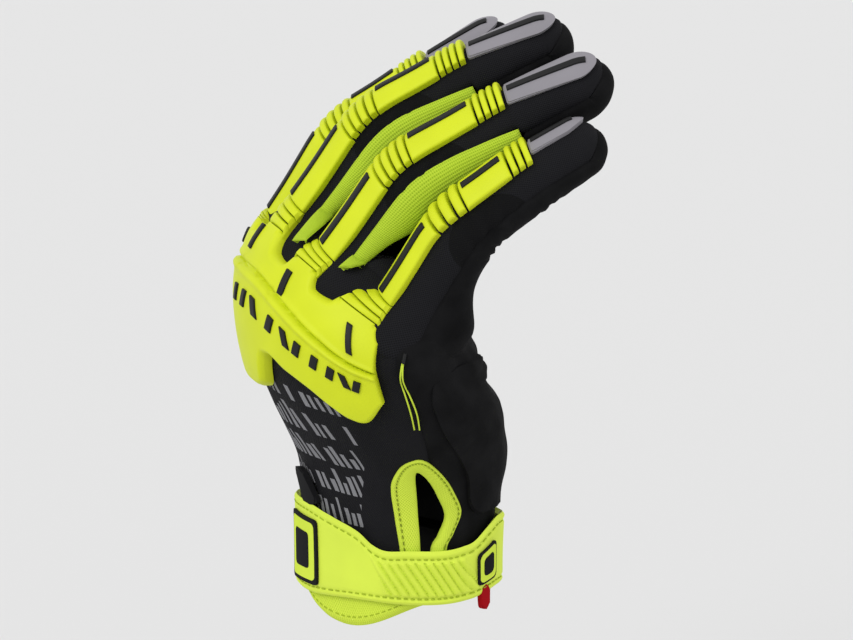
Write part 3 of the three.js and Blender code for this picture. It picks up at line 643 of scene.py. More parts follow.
palm_leather = grained("black_palm_leather", dye(19, 19, 20), 0.85, 0.07,
                       dict(scale=120.0, ends=(0.3, 0.7), shades=(0.7, 1.35)),
                       dict(scale=1400.0, detail=3.0, strength=0.35, height=0.0003))
palm_creases = [
    dict(up=99, tilt=0.02, depth=0.7, width=2.2), dict(up=90, tilt=-0.05, depth=0.9, width=2.2),
    dict(up=83, tilt=0.06, depth=0.6, width=1.8),
]


def palm_relief(up, around):
    # creases across the palm, a hollow below the finger roots, and slack; all fade out at the side
    hollow_depth, slack = 3, 0.35
    inner = ease((around - 84) / 20)
    height = sunk_seam(around)
    for crease in palm_creases:
        line = up - crease["up"] + crease["tilt"] * (around - 130)
        height = height - crease["depth"] * inner * bell(line, crease["width"])
    hollow = -hollow_depth * inner * bell(up - 96, 9)
    return height + hollow + slack * soft_folds(around * 0.7, up, 23, 1)


hand_panel("hand_palm_leather", seam_little, 360 + seam_thumb, palm_relief, palm_leather,
           ["palm_panel"], more=5)

# Digits: each has a black cloth back, a leather palm side that wraps the tip, and, between
# neighbours, sides of yellow knitted mesh. The cuts meet in sunk seams.
side_edge = 75
side_under = 128
quarter_girth = 0.78  # a quarter of the way round, as a share of the breadth
tip_turn = 62  # where the cuts meet over the rounded tip, in degrees from the back
root_sink = 6
seam_depth = 0.55
seam_width = 0.7
tip_seam_depth = 0.4
knee_fold_height = 0.5
digit_slack = 0.2
little_fold_height = 7.2
mesh_end_share = dict(index=0.62, middle=0.667, ring=0.683, little=0.66)
meshed_on_little_side = ("index", "middle", "ring")
meshed_on_thumb_side = ("middle", "ring", "little")
digit_starts = dict(index=-10, middle=-10, ring=-10, little=-10, thumb=4)
back_cloth = stretch_cloth("black_stretch_cloth")
thumb_cloth = stretch_cloth("plain_black_cloth")
mesh_cloth = cloth("yellow_side_mesh", dye(186, 212, 60), dye(146, 178, 36), 0.85, 0.85, 0.9, 0.35,
                   turn=45, mottle=0.1)


def print_patches(made):
    # rounded patches of matte black knit over the sides of the middle joint of each finger
    tree = made.node_tree
    place = node(tree, "SeparateXYZ", node(tree, "UVMap").outputs[0])
    side = work_out(tree, "ABSOLUTE", place.outputs[0])
    shares = [work_out(tree, "DIVIDE", work_out(tree, "SUBTRACT", value, middle), half)
              for value, middle, half in ((side, 15.0, 11.0), (place.outputs[1], 3.5, 12.8))]
    reach = node(tree, "VectorMath", node(tree, "CombineXYZ", *shares).outputs[0], operation="LENGTH")
    mask = node(tree, "MapRange", reach.outputs["Value"], 0.98, 1.0, 1, 0).outputs[0]
    print_ink(made, mask, dye(17, 17, 18))


print_patches(back_cloth)


def finger_creases(digit, travel, around):
    # three creases across the inner side of each joint, on a low swell
    crease_width, swell_height, swell_width = 1.3, 0.8, 6
    height = 0
    for joint, depth in ((digit["first"], 1.5), (digit["first"] + digit["second"], 1.0)):
        at = joint * digit["length"]
        for shift, share in ((-2.6, 0.7), (1.2, 1), (4.6, 0.6)):
            height = height - depth * share * bell(travel - at - shift - 0.02 * around, crease_width)
        height = height + swell_height * bell(travel - at, swell_width)
    return height


def digit_panel(name, digit_name, palm_side, made, node_name):
    digit = digits[digit_name]
    turns = 180 - tip_turn if palm_side else tip_turn
    start = digit_starts[digit_name]
    end = digit["length"] * (1 - tip_share) + turns * (tip_quarter(digit) / 90)
    knee = digit["first"] * digit["length"]
    mesh_end = mesh_end_share.get(digit_name, 0) * digit["length"]
    panel = cut_cloth(name, digit["breadth"] * np.pi / 2, end - start, 0.9, knee - start)

    def edge_at(travel, meshed):
        if digit_name not in meshed:
            return 90 + 0 * travel
        inner = 180 - side_under if palm_side else side_edge
        return between(inner, 90, ease((travel - mesh_end) / 0.8))

    def place(x, y, z):
        travel = between(start, end, y + 0.5)
        left, right = -edge_at(travel, meshed_on_thumb_side), edge_at(travel, meshed_on_little_side)
        around = between(left, right, x + 0.5)
        middle = np.cos(np.radians(around)) ** 2
        margin = np.minimum(around - left, right - around) / 90 * digit["breadth"] * quarter_girth
        height = z - seam_depth * bell(margin, seam_width)
        height = height - tip_seam_depth * bell(end - travel, seam_width)
        if palm_side:
            height = height + finger_creases(digit, travel, around) * middle
        bend = bell(travel - knee - 3, 12) * ease((np.abs(around) - 42) / 15)
        folds = np.sin((travel - knee) * 1.1 + np.abs(around) / 13)
        height = height + bend * knee_fold_height * folds
        height = height + digit_slack * soft_folds(around / 5, travel, 17, digit["lean"])
        height = height - root_sink * ease((-1 - travel) / 9)
        if palm_side and digit_name == "little":
            # the fold of the palm's edge, which the bent little finger pushes up
            height = height + little_fold_height * bell(travel - 12, 8.5) * middle
        return digit_skin(digit, travel, around, height, palm_side)
    lay(panel, place)
    sew_roots(panel, digit_name)
    add_wall(panel, fabric_wall)
    dress(panel, made, [node_name])


# The edges of a side mesh, in degrees around the finger, and how far along it they lie
mesh_edges = [
    dict(along=0, upper=54.5, lower=56.5), dict(along=1, upper=53, lower=59),
    dict(along=5, upper=51.5, lower=61), dict(along=10, upper=51.5, lower=65),
    dict(along=17, upper=52.5, lower=74), dict(along=25, upper=54.5, lower=88),
    dict(along=33, upper=56.5, lower=113), dict(along=42, upper=59.5, lower=128),
    dict(along=52, upper=62, lower=128), dict(along=60, upper=68, lower=128),
    dict(along=70, upper=77, lower=128),
]
mesh_starts = dict(index=-3.5, middle=-6, ring=-6, little=-0.5)
tongue_tips = dict(middle=(103.6, 2.2), ring=(104.9, 25.8))
tongue_end = 13
tongue_lift = 2.8


def side_mesh(digit_name, sign, node_name):
    digit = digits[digit_name]
    end = mesh_end_share[digit_name] * digit["length"]
    start = mesh_starts[digit_name]
    width = (side_under - side_edge) / 90 * digit["breadth"] * quarter_girth
    panel = cut_cloth(node_name.replace("mesh", "knit"), width, end - start, 0.6)

    def edges_at(along):
        share = (along - start) / (end - start) * mesh_edges[-1]["along"]
        return [along_table(mesh_edges, "along", name, share) for name in ("upper", "lower")]

    def place(x, y, z):
        along = between(start, end, y + 0.5)
        upper, lower = edges_at(along)
        across = np.sqrt(np.clip(1 - (2 * x) ** 2, 0, 1))
        ends = np.sqrt(np.clip(1 - (1 - np.minimum(along - start, end - along) / 2.5).clip(0) ** 2, 0, 1))
        bulge = z + (0.2 + (0.9 + 1.1 * ease((lower - upper) / 40)) * across * ends)
        laid = digit_skin(digit, along, sign * between(upper, lower, x + 0.5), bulge)
        if sign > 0 and digit_name in tongue_tips:
            # the narrow end of the mesh lies as a tongue on the cloth between two knuckles
            up, around = tongue_tips[digit_name]
            tip = hand_skin(up + 1.2 * x, around + 4.5 * x, bulge + tongue_lift)
            reach = np.clip((along - start) / (tongue_end - start), 0, 1)
            lift = bulge + 1.6 * np.sin(np.pi * reach)
            root = digit_skin(digit, tongue_end, between(*edges_at(tongue_end), x + 0.5), lift)
            tongue = between(tip, root, reach[..., None])
            laid = between(tongue, laid, ease((along - tongue_end + 2) / 3)[..., None])
        return laid
    lay(panel, place)
    add_wall(panel, fabric_wall)
    dress(panel, mesh_cloth, [node_name])


for digit_name in digits:
    back_made = thumb_cloth if digit_name == "thumb" else back_cloth
    digit_panel(f"{digit_name}_back_cloth", digit_name, False, back_made, f"{digit_name}_back")
    digit_panel(f"{digit_name}_palm_leather", digit_name, True, palm_leather,
                f"{digit_name}_palm")
    if digit_name in meshed_on_little_side:
        side_mesh(digit_name, 1, f"{digit_name}_little_side_mesh")
    if digit_name in meshed_on_thumb_side:
        side_mesh(digit_name, -1, f"{digit_name}_thumb_side_mesh")

# Knuckle plate: one moulding of soft yellow rubber, fixed flat on the cloth over the knuckles. Its
# lower band is thicker and has a rib along its top, and a lobe runs down on the thumb side.
def rubber(name, colour, roughness):
    return grained(name, colour, roughness, 0.22,
                   dict(scale=60.0, ends=(0.35, 0.65), shades=(0.94, 1)),
                   dict(scale=1800.0, detail=2.0, strength=0.12, height=0.0002))


yellow_rubber = rubber("yellow_rubber", dye(206, 218, 30), 0.5)
black_rubber = rubber("black_rubber", dye(24, 24, 25), 0.5)
# The heights of the plate's lower edge, of the top of its band and of its upper edge in mm, at
# degrees around the hand
plate_outline = [
    dict(around=-62, lower=82, band=92, upper=100), dict(around=-52, lower=70, band=92.5, upper=100.5),
    dict(around=-40, lower=66, band=93, upper=100.5), dict(around=-15, lower=65, band=93.5, upper=101.5),
    dict(around=-5, lower=67, band=93.5, upper=100), dict(around=0, lower=75.5, band=93, upper=99.2),
    dict(around=12, lower=74, band=91.2, upper=99.4), dict(around=23, lower=71.5, band=89.3, upper=98.7),
    dict(around=31, lower=68, band=88, upper=99.4), dict(around=38, lower=65, band=86.8, upper=100),
    dict(around=46, lower=65, band=86, upper=99.8), dict(around=56, lower=74, band=86.2, upper=97.4),
]
plate_sides = (-62, 56)
prong_centres = dict(index=-46, middle=-14, ring=11, little=41.8)
prong_halves = dict(index=12.5, middle=8, ring=7, little=11.5)
prong_tops = dict(index=102.6, middle=103.1, ring=101.8, little=101)
plate_inside = 0.3
plate_height = 3.4
band_height = 4.4
edge_round = 1.3
across_scale = 0.76  # mm for each degree around the knuckles


def plate_edge(name, around):
    edge = along_table(plate_outline, "around", name, around)
    if name == "upper":
        for finger, centre in prong_centres.items():
            inside = (prong_halves[finger] - np.abs(around - centre)) * across_scale
            edge = between(edge, prong_tops[finger], np.clip(inside / 2.2 + 0.8, 0, 1) ** 2)
    return edge


def plate_relief(up, around):
    # the height of the plate, which falls off in a round edge except where the prongs' ridges join
    rim = []
    for name in ("lower", "upper"):
        at = np.linspace(*plate_sides, 500)
        if name == "upper":
            at = at[[not any(abs(a - c) < prong_halves[f] - 2 for f, c in prong_centres.items())
                     for a in at]]
        rim.append(np.stack([at * across_scale, plate_edge(name, at)], axis=-1))
    for side in plate_sides:
        edge = np.linspace(plate_edge("lower", side), plate_edge("upper", side), 100)
        rim.append(np.stack([np.full(100, side * across_scale), edge], axis=-1))
    outline = np.vstack(rim)
    here = np.stack([around * across_scale, up], axis=-1)
    margin = np.full(len(here), np.inf)
    for start in range(0, len(outline), 60):
        gaps = np.linalg.norm(here[:, None] - outline[None, start:start + 60], axis=-1)
        margin = np.minimum(margin, gaps.min(axis=1))
    band = up - plate_edge("band", around)
    step = between(band_height, plate_height, ease((band + 0.6) / 0.8))
    ribs = 0.7 * bell(band + 1.5, 0.9) + 0.5 * bell(band - 1.5, 0.8)
    groove = 0.9 * bell(band - 0.2, 0.4)
    round_off = np.sqrt(1 - (1 - np.clip(margin / edge_round, 0, 1)) ** 2)
    return (step + ribs - groove - plate_inside) * (0.3 + 0.7 * round_off)


def stretch_up(piece, height):
    # gives a flat cut a straight thickness in mm, closed all round
    pick(piece)
    bpy.ops.object.mode_set(mode="EDIT")
    bpy.ops.mesh.select_all(action="SELECT")
    bpy.ops.mesh.extrude_region_move(TRANSFORM_OT_translate={"value": (0, 0, height)})
    bpy.ops.mesh.select_all(action="SELECT")
    bpy.ops.mesh.normals_make_consistent(inside=False)
    bpy.ops.object.mode_set(mode="OBJECT")


plate = cut_cloth("knuckle_plate", (plate_sides[1] - plate_sides[0]) * across_scale, 34, 0.45)
stretch_up(plate, 1)


def place_plate(x, y, z):
    around = between(*plate_sides, x + 0.5)
    up = between(plate_edge("lower", around), plate_edge("upper", around), y + 0.5)
    return hand_skin(up, around, plate_inside + z * plate_relief(up, around))


lay(plate, place_plate)
bpy.ops.object.shade_smooth_by_angle(angle=np.radians(50))
dress(plate, yellow_rubber, ["knuckle_guard"])

# Finger guards: moulded rubber pads and flex ridges in a row down the back of each finger, with
# a black strip on each pad. The ridges stand apart over the joints. They are moulded flat and
# fixed on the cloth, so they are made flat here and then laid.
def flat_part(name):
    bpy.ops.object.select_all(action="DESELECT")
    bpy.ops.object.add(type="MESH")
    part = bpy.context.object
    part.name = name
    part.data.name = name
    return part


def slice_flat(part, across, along):
    # cuts a flat part into short runs, so that it bends smoothly when it is laid
    shape = bmesh.new()
    shape.from_mesh(part.data)
    for way, cuts in ((Vector((1, 0, 0)), across), (Vector((0, 1, 0)), along)):
        for cut in cuts:
            bmesh.ops.bisect_plane(shape, geom=shape.verts[:] + shape.edges[:] + shape.faces[:],
                                   plane_co=way * cut, plane_no=way, dist=1e-4)
    shape.to_mesh(part.data)
    shape.free()
    part.data.update()


def choose_edges(shape, wanted):
    for edge in shape.edges:
        edge.select = wanted(edge)
    shape.select_flush(True)


def block(part, left, right, start, end, bottom, top, corner, round_off):
    # a moulded block with rounded corners in plan and a rounded top edge, added to a flat part
    bpy.context.view_layer.objects.active = part
    bpy.ops.object.mode_set(mode="EDIT")
    bpy.ops.mesh.select_all(action="DESELECT")
    bpy.ops.mesh.primitive_cube_add(
        size=1, location=((left + right) / 2, (start + end) / 2, (bottom + top) / 2),
        scale=(right - left, end - start, top - bottom))
    shape = bmesh.from_edit_mesh(part.data)
    new = {edge for edge in shape.edges if edge.select}
    upright = [e for e in new if abs(e.verts[0].co.z - e.verts[1].co.z) > 0.5 * (top - bottom)]
    choose_edges(shape, lambda edge: edge in upright)
    bmesh.update_edit_mesh(part.data)
    bpy.ops.mesh.bevel(offset=corner, segments=3, affect="EDGES")
    shape = bmesh.from_edit_mesh(part.data)
    rim = [e for e in shape.edges if all(abs(v.co.z - top) < 1e-4 for v in e.verts)
           and all(left - 1e-3 <= v.co.x <= right + 1e-3 for v in e.verts)
           and all(start - 1e-3 <= v.co.y <= end + 1e-3 for v in e.verts)]
    choose_edges(shape, lambda edge: edge in rim)
    bmesh.update_edit_mesh(part.data)
    bpy.ops.mesh.bevel(offset=round_off, segments=4, affect="EDGES")
    bpy.ops.object.mode_set(mode="OBJECT")


def close_part(part, made, replaced=()):
    pick(part)
    bpy.ops.object.shade_smooth_by_angle(angle=np.radians(35))
    dress(part, made, replaced)


strip_cell = 1.3


def black_strip(name, node_name, place, half, ends, margins, heights, corner, round_off, aside=0,
                step=strip_cell):
    # a raised strip of black rubber with a round top edge, on a guard, a tip panel or the plate
    start, end = ends
    strip = flat_part(name)
    block(strip, aside - half, aside + half, start + margins[0], end - margins[1], *heights,
          corner, round_off)
    slice_flat(strip, [aside], np.arange(start, end, step))
    lay(strip, place)
    close_part(strip, black_rubber, [node_name])


guard_half = 7.9
guard_height = 2.6
guard_cells = np.arange(-7, 7.1, 1.4)
# Where a guard starts, where the ridges of its middle joint lie, where its next ridges start, where
# the tip panel follows, and how many ridges each joint has
guard_places = dict(
    index=dict(start=9.5, knee=37.4, knee_end=45.5, end=62.5, panel=71, ridges=4),
    middle=dict(start=9, knee=34.7, knee_end=42.5, end=61.8, panel=70, ridges=4),
    ring=dict(start=8.7, knee=34, knee_end=41.5, end=62, panel=70.4, ridges=4),
    little=dict(start=10, knee=34, knee_end=41.6, end=56.2, panel=62.6, ridges=3),
)


def guard_lean(y):
    # the ridges slant across the finger, more so towards its tip
    return -0.08 - 0.12 * ease((y - 10) / 50)


def guard_turn(digit, y):
    # the little finger's guard sits towards the ring finger, up to its middle joint
    if digit is not digits["little"]:
        return 0 * y
    return -12 * (1 - ease((y - 30) / 12))


def across_digit(digit, x):
    # the degrees around a digit at a place across its guard
    radius = (digit["breadth"] + digit["depth"]) / 4 + 1
    return np.degrees(x * (digit["breadth"] / finger_breadth) / radius)


def digit_place(digit, turn=0, twist=0):
    # lays a flat part on the back of a digit, turned by an angle that grows along it
    def place(x, y, z):
        around = across_digit(digit, x) + guard_turn(digit, y) + turn + twist * y
        return digit_skin(digit, y + guard_lean(y) * x, around, z)
    return place


strip_aside = dict(little=2.2, ring=0.8)
strip_heights = (guard_height - 0.4, guard_height + 0.6)
pad_gap = 0.35
ridge_inset = 0.3
ridge_rise = 0.4
ridge_from, ridge_to, ridge_round = 0.12, 0.86, 0.34  # shares of the pitch of the ridges
for finger, at in guard_places.items():
    digit = digits[finger]
    guard = flat_part(f"{finger}_rubber_guard")
    for start, end in ((at["start"], at["knee"] - pad_gap), (at["knee_end"] + 0.1, at["end"] - pad_gap)):
        block(guard, -guard_half, guard_half, start, end, 0, guard_height, 0.9, 0.7)
    for start, end in ((at["knee"], at["knee_end"]), (at["end"], at["panel"])):
        pitch = (end - start) / at["ridges"]
        for i in range(at["ridges"]):
            low = start + i * pitch
            block(guard, ridge_inset - guard_half, guard_half - ridge_inset,
                  low + ridge_from * pitch, low + ridge_to * pitch, 0, guard_height + ridge_rise,
                  ridge_round * pitch, ridge_round * pitch)
    slice_flat(guard, guard_cells, np.arange(at["start"], at["panel"], strip_cell))
    lay(guard, digit_place(digit))
    close_part(guard, yellow_rubber, [f"{finger}_guard"])
    for label, start, end, aside in (
        ("first", at["start"], at["knee"], strip_aside.get(finger, 0)),
        ("second", at["knee_end"], at["end"], 0),
    ):
        black_strip(f"{finger}_{label}_black_strip", f"{finger}_{label}_strip", digit_place(digit),
                    1.25, (start, end), (1.0, 1.5), strip_heights, 0.4, 0.3, aside)

# Tip panels: grey reflective cloth sewn on behind each finger tip, square at the joint and round
# at the tip, with a black rubber strip down its middle.
reflective = cloth("grey_reflective_cloth", dye(146, 143, 149), dye(122, 120, 126), 0.6, 0.6, 0.5, 0.2,
                   mottle=0.15)


def cut_shape(name, outline, thickness, cell, round_off=0):
    # a flat shape of even thickness with the outline given anticlockwise in mm
    part = flat_part(name)
    shape = bmesh.new()
    low = [shape.verts.new((x, y, 0)) for x, y in outline]
    high = [shape.verts.new((x, y, thickness)) for x, y in outline]
    shape.faces.new(low[::-1])
    top = shape.faces.new(high)
    for i in range(len(low)):
        j = (i + 1) % len(low)
        shape.faces.new((low[i], low[j], high[j], high[i]))
    if round_off:
        bmesh.ops.bevel(shape, geom=top.edges[:], offset=round_off, segments=3, affect="EDGES")
    bmesh.ops.triangulate(shape, faces=[f for f in shape.faces if len(f.verts) > 4])
    shape.to_mesh(part.data)
    shape.free()
    xs, ys = zip(*outline)
    slice_flat(part, *[np.arange(min(v) + cell / 2, max(v), cell) for v in (xs, ys)])
    return part


panel_half = 5.8
panel_turns = dict(index=(5, 0.6), middle=(5, 0.7), ring=(6, 0.75), little=(-8, -0.1))
for finger, (turn, twist) in panel_turns.items():
    digit = digits[finger]
    at = guard_places[finger]
    start, end = at["panel"] + 0.4, digit["length"] * 0.985 - 1.8
    on_tip = digit_place(digit, turn - twist * start, twist)
    turns = np.linspace(0, np.pi, 25)
    rounded = [(panel_half * np.cos(a), end - panel_half + panel_half * np.sin(a)) for a in turns]
    outline = [(-panel_half, start + 0.5), (0.5 - panel_half, start), (panel_half - 0.5, start),
               (panel_half, start + 0.5)] + rounded
    panel = cut_shape(f"{finger}_reflective_panel", outline, 1.3, 1.2, 0.4)
    lay(panel, on_tip)
    close_part(panel, reflective, [f"{finger}_tip_panel"])
    black_strip(f"{finger}_tip_black_strip", f"{finger}_tip_strip", on_tip, 1.15, (start, end),
                (1.0, 3), (1.0, 1.9), 0.6, 0.35)

# Knuckle ridges and dashes: three ridges of the same yellow rubber join the plate to each finger
# guard, over the joint, and a black rubber dash stands on the plate below them.
knuckle_ridges = 3
dash_places = dict(
    index=dict(around=-47, low=96, high=100), middle=dict(around=-20, low=97.2, high=102.4),
    ring=dict(around=7.8, low=93.3, high=99.3), little=dict(around=42.5, low=90, high=98, slant=0.35),
)
for finger, spot in prong_centres.items():
    digit = digits[finger]
    half_angle = prong_halves[finger]
    ridges = flat_part(f"{finger}_knuckle_ridges")
    for i in range(knuckle_ridges):
        block(ridges, -guard_half, guard_half, i + 0.06, i + 0.97, 0, 1, 0.1, 0.02)
    slice_flat(ridges, guard_cells, np.arange(0, knuckle_ridges, 0.08))

    def place_ridges(x, y, z, digit=digit, spot=spot, finger=finger, half_angle=half_angle):
        around = spot + x / guard_half * half_angle
        start_up = plate_edge("upper", around)
        far = guard_places[finger]["start"] - 0.2
        turn = across_digit(digit, x) + guard_turn(digit, far)
        far = far + guard_lean(far) * x
        ends = [hand_skin(start_up, around), digit_skin(digit, far, turn, 0)]
        outs = [hand_skin(start_up, around, 1) - ends[0], digit_skin(digit, far, turn, 1) - ends[1]]
        share = y / knuckle_ridges
        out = between(*outs, share[..., None])
        out = out / np.linalg.norm(out, axis=-1)[..., None]
        local = np.clip((y % 1 - 0.515) / 0.455, -1, 1)
        dome = np.sqrt(1 - local ** 6) * np.sqrt(np.clip(1 - (x / guard_half) ** 16, 0, 1))
        height = between(plate_height, guard_height, share) + 0.5 * np.sin(np.pi * share)
        height = z * height * (0.55 + 0.45 * dome)
        return between(*ends, share[..., None]) + out * height[..., None]
    lay(ridges, place_ridges)
    close_part(ridges, yellow_rubber)
    at = dash_places[finger]

    def place_dash(x, y, z, at=at):
        slant = at.get("slant", 0) * (94 - y)
        return hand_skin(y, at["around"] + slant + x / across_scale, z)
    black_strip(f"{finger}_black_dash", f"{finger}_knuckle_dash", place_dash, 1.05,
                (at["low"], at["high"]), (0, 0), (plate_height - 0.5, plate_height + 0.8), 0.9, 0.35,
                step=1.2)

# Band bars: the plate's lower band carries a row of plain slanted bars of raised black rubber,
# which stand in the place of lettering and spell nothing.
band_bars = [
    dict(around=46, slant=0.3), dict(around=41, slant=-0.3), dict(around=35, slant=0.3),
    dict(around=28, slant=0.3), dict(around=20, slant=0.3), dict(around=14, slant=-0.3),
    dict(around=6, slant=0.3), dict(around=-3, slant=-0.3), dict(around=-11, slant=0.3),
    dict(around=-20, slant=0.3),
]
bar_length = 4.4
bar_drop = 9.2
bars = flat_part("band_bars")
for row in band_bars:
    block(bars, row["around"] - 1.5, row["around"] + 1.5, 0, bar_length, 0, 1, 0.4, 0.3)
slice_flat(bars, np.arange(-26, 48, 1.2), np.arange(0, 5, 1.0))


def place_bars(x, y, z):
    centres = np.array([row["around"] for row in band_bars])
    slants = np.array([row["slant"] for row in band_bars])
    which = np.abs(x[:, None] - centres).argmin(axis=1)
    around = x + slants[which] * (y - bar_length / 2) / across_scale
    up = plate_edge("band", around) - bar_drop + y
    return hand_skin(up, around, band_height - 0.5 + 1.2 * z)


lay(bars, place_bars)
close_part(bars, black_rubber)

# Cuff: a knitted hoop of bright yellow round the wrist, folded double at its edge and sewn to the
# back and palm. A rounded tab of it hangs below the strap at the back of the wrist.
cuff_knit = cloth("bright_cuff_knit", dye(212, 232, 78), dye(180, 205, 52), 0.7, 1.2, 0.9, 0.3,
                  mottle=0.1)
cuff_bottom = 4.8
cuff_inside_top = 15
cuff_wall = 2.2
tab_drop = 9.8
tab_place = 4
tab_half = 68


def weld(piece, gap, close_ends=False):
    # joins the edges of a cut that meet, and closes a tube's open ends
    pick(piece)
    bpy.ops.object.mode_set(mode="EDIT")
    bpy.ops.mesh.select_all(action="SELECT")
    bpy.ops.mesh.remove_doubles(threshold=gap)
    if close_ends:
        bpy.ops.mesh.select_all(action="DESELECT")
        bpy.ops.mesh.select_non_manifold()
        bpy.ops.mesh.edge_face_add()
        bpy.ops.mesh.select_all(action="SELECT")
        bpy.ops.mesh.normals_make_consistent(inside=False)
    bpy.ops.object.mode_set(mode="OBJECT")


def cuff_edge_at(turned):
    # the cuff's lower edge, which drops to a round tab; turned is in degrees from its middle
    share = np.minimum(np.abs(turned) / tab_half, 1)
    return cuff_bottom - tab_drop * np.cos(share * np.pi / 2) ** 2


def place_cuff(x, y, z):
    around = 360 * (x + 0.5)
    bottom = cuff_edge_at((around - tab_place + 180) % 360 - 180)
    up = between(bottom, cuff_inside_top, y + 0.5)
    hem = 0.3 * bell(up - bottom - 2.4, 1.4) - 1.1 * bell(up - bottom, 0.9)
    return hand_skin(up, around, z + 0.6 + hem)


cuff = cut_cloth("cuff_hoop", 200, 16, 0.9)
open_slit(cuff, lambda x, y: (between(cuff_bottom, cuff_inside_top, y + 0.5), 360 * (x + 0.5)))
lay(cuff, place_cuff)
weld(cuff, 1e-5)
add_wall(cuff, cuff_wall)
dress(cuff, cuff_knit, ["cuff"])

# Slit binding: a knitted yellow tape, folded over the raw edge of the wrist slit that lets the
# hand in, and stitched down near its outer edge.
tape_seam = 0.24
tape = cut_cloth("slit_tape", 18, 100, 0.6)


def place_tape(x, y, z):
    # a flat tube round the raw edge, pressed in along its line of stitches
    angle = 2 * np.pi * (x + 0.5)
    share = 0.5 - 0.5 * np.cos(angle)
    up, around = slit_path(100 * (y + 0.5), share)
    lift = np.sign(np.sin(angle)) * np.abs(np.sin(angle)) ** 0.6
    hem = 0.35 * bell(share - tape_seam - 0.02, 0.05) * (lift > 0)
    return hand_skin(up, around, -0.4 + 1.6 * lift - hem + z)


lay(tape, place_tape)
weld(tape, 1e-5, close_ends=True)
close_part(tape, cuff_knit, ["slit_binding"])

# Wrist strap: a wide strap of bright yellow over the cuff, closed by hook and loop on the palm
# side. Slanted grip ribs are moulded on it at the little-finger side.
strap_edges = [
    dict(around=-100, bottom=3, top=25), dict(around=-60, bottom=2, top=28),
    dict(around=-16, bottom=2, top=29.5), dict(around=10, bottom=4.3, top=26.8),
    dict(around=20, bottom=4.8, top=25), dict(around=28, bottom=5, top=22),
    dict(around=36, bottom=5, top=20.6), dict(around=50, bottom=5, top=21),
    dict(around=90, bottom=5, top=21.4), dict(around=104, bottom=6, top=25.4),
    dict(around=116, bottom=6.5, top=27.6), dict(around=150, bottom=5, top=26),
    dict(around=215, bottom=4, top=25),
]
strap_ends = (-100, 215)
strap_inside = 1.3
strap_thickness = 2.0
strap_outside = strap_inside + strap_thickness
rib_zone = (28, 88)
rib_pitch = 5.7
strap_rubber = rubber("bright_strap_rubber", dye(210, 230, 74), 0.65)


def strap_at(around, share):
    bottom, top = (along_table(strap_edges, "around", name, around) for name in ("bottom", "top"))
    return between(bottom, top, share)


def place_strap(x, y, z):
    # slanted ribs stand between the two hems, and the edges are rolled in
    around = between(*strap_ends, x + 0.5)
    up = strap_at(around, y + 0.5)
    over, under = up - strap_at(around, 0), strap_at(around, 1) - up
    wave = np.abs(np.sin(np.pi * (around + 1.4 * (up - 12)) / rib_pitch)) ** 0.7
    slanted = around + 0.8 * (up - 17)
    zone = ease((slanted - rib_zone[0]) / 2) * (1 - ease((slanted - rib_zone[1]) / 2))
    zone = zone * ease((over - 2.2) / 0.9) * ease((under - 2.8) / 0.9)
    hems = -0.35 * bell(under - 2.3, 0.5) - 0.35 * bell(over - 1.9, 0.5)
    edge = -0.7 * bell(np.minimum(over, under), 0.5)
    return hand_skin(up, around, z + strap_outside - 0.3 + zone * (1.3 * wave - 0.5) + hems + edge)


strap_wall = 1.7
strap = cut_cloth("closing_strap", 180, 22, 0.55)
lay(strap, place_strap)
add_wall(strap, strap_wall)
dress(strap, strap_rubber, ["wrist_strap"])

# Strap patches: two framed patches, black cloth with a yellow field and a black bar, lie flat on
# the strap. They stand in the place of its labels and are plain.
def hand_place(lift, scale):
    # lays a flat part on the hand: x runs against the degrees around it, y runs up it
    return lambda x, y, z: hand_skin(y, -x / scale, lift + z)


def rounded_outline(corners, radius):
    # an outline in which each corner given anticlockwise is rounded by an arc of five points
    outline = []
    for i, corner in enumerate(corners):
        before = Vector(corners[i - 1]) - Vector(corner)
        after = Vector(corners[(i + 1) % len(corners)]) - Vector(corner)
        reach = min(radius, before.length / 2, after.length / 2)
        start, end = (Vector(corner) + way.normalized() * reach for way in (before, after))
        for t in np.linspace(0, 1, 5):
            bend = start.lerp(Vector(corner), t).lerp(Vector(corner).lerp(end, t), t)
            outline.append(tuple(bend))
    return outline


wrist_scale = 0.56  # mm for each degree around the wrist
patch_cloth = cloth("black_patch_cloth", dye(30, 30, 32), dye(18, 18, 19), 0.6, 0.6, 0.8, 0.2)
patch_layers = (
    dict(label="", share=1, made=patch_cloth, lift=-0.1, thick=0.7),
    dict(label="_field", share=0.88, made=cuff_knit, lift=0.4, thick=0.3),
    dict(label="_bar", share=0.55, made=patch_cloth, lift=0.5, thick=0.35),
)
for name, sides, shares in (("back_patch", (-34, -6), (0.1, 0.86)), ("palm_patch", (94, 108), (0.2, 0.75))):
    (left, right), (low, high) = sides, shares
    corners = [(-around, float(strap_at(around, share))) for around, share in (
        (right, low), (left, low), (left, high), (right, high))]
    centre = np.mean(corners, axis=0)
    for layer in patch_layers:
        placed = [tuple((centre + (np.array(c) - centre) * layer["share"]) * [wrist_scale, 1])
                  for c in corners]
        patch = cut_shape(name.replace("patch", "strap_patch") + layer["label"],
                          rounded_outline(placed, 1.2), layer["thick"], 1.5, 0.15)
        lay(patch, hand_place(strap_outside + layer["lift"], wrist_scale))
        close_part(patch, layer["made"], [] if layer["label"] else [name])

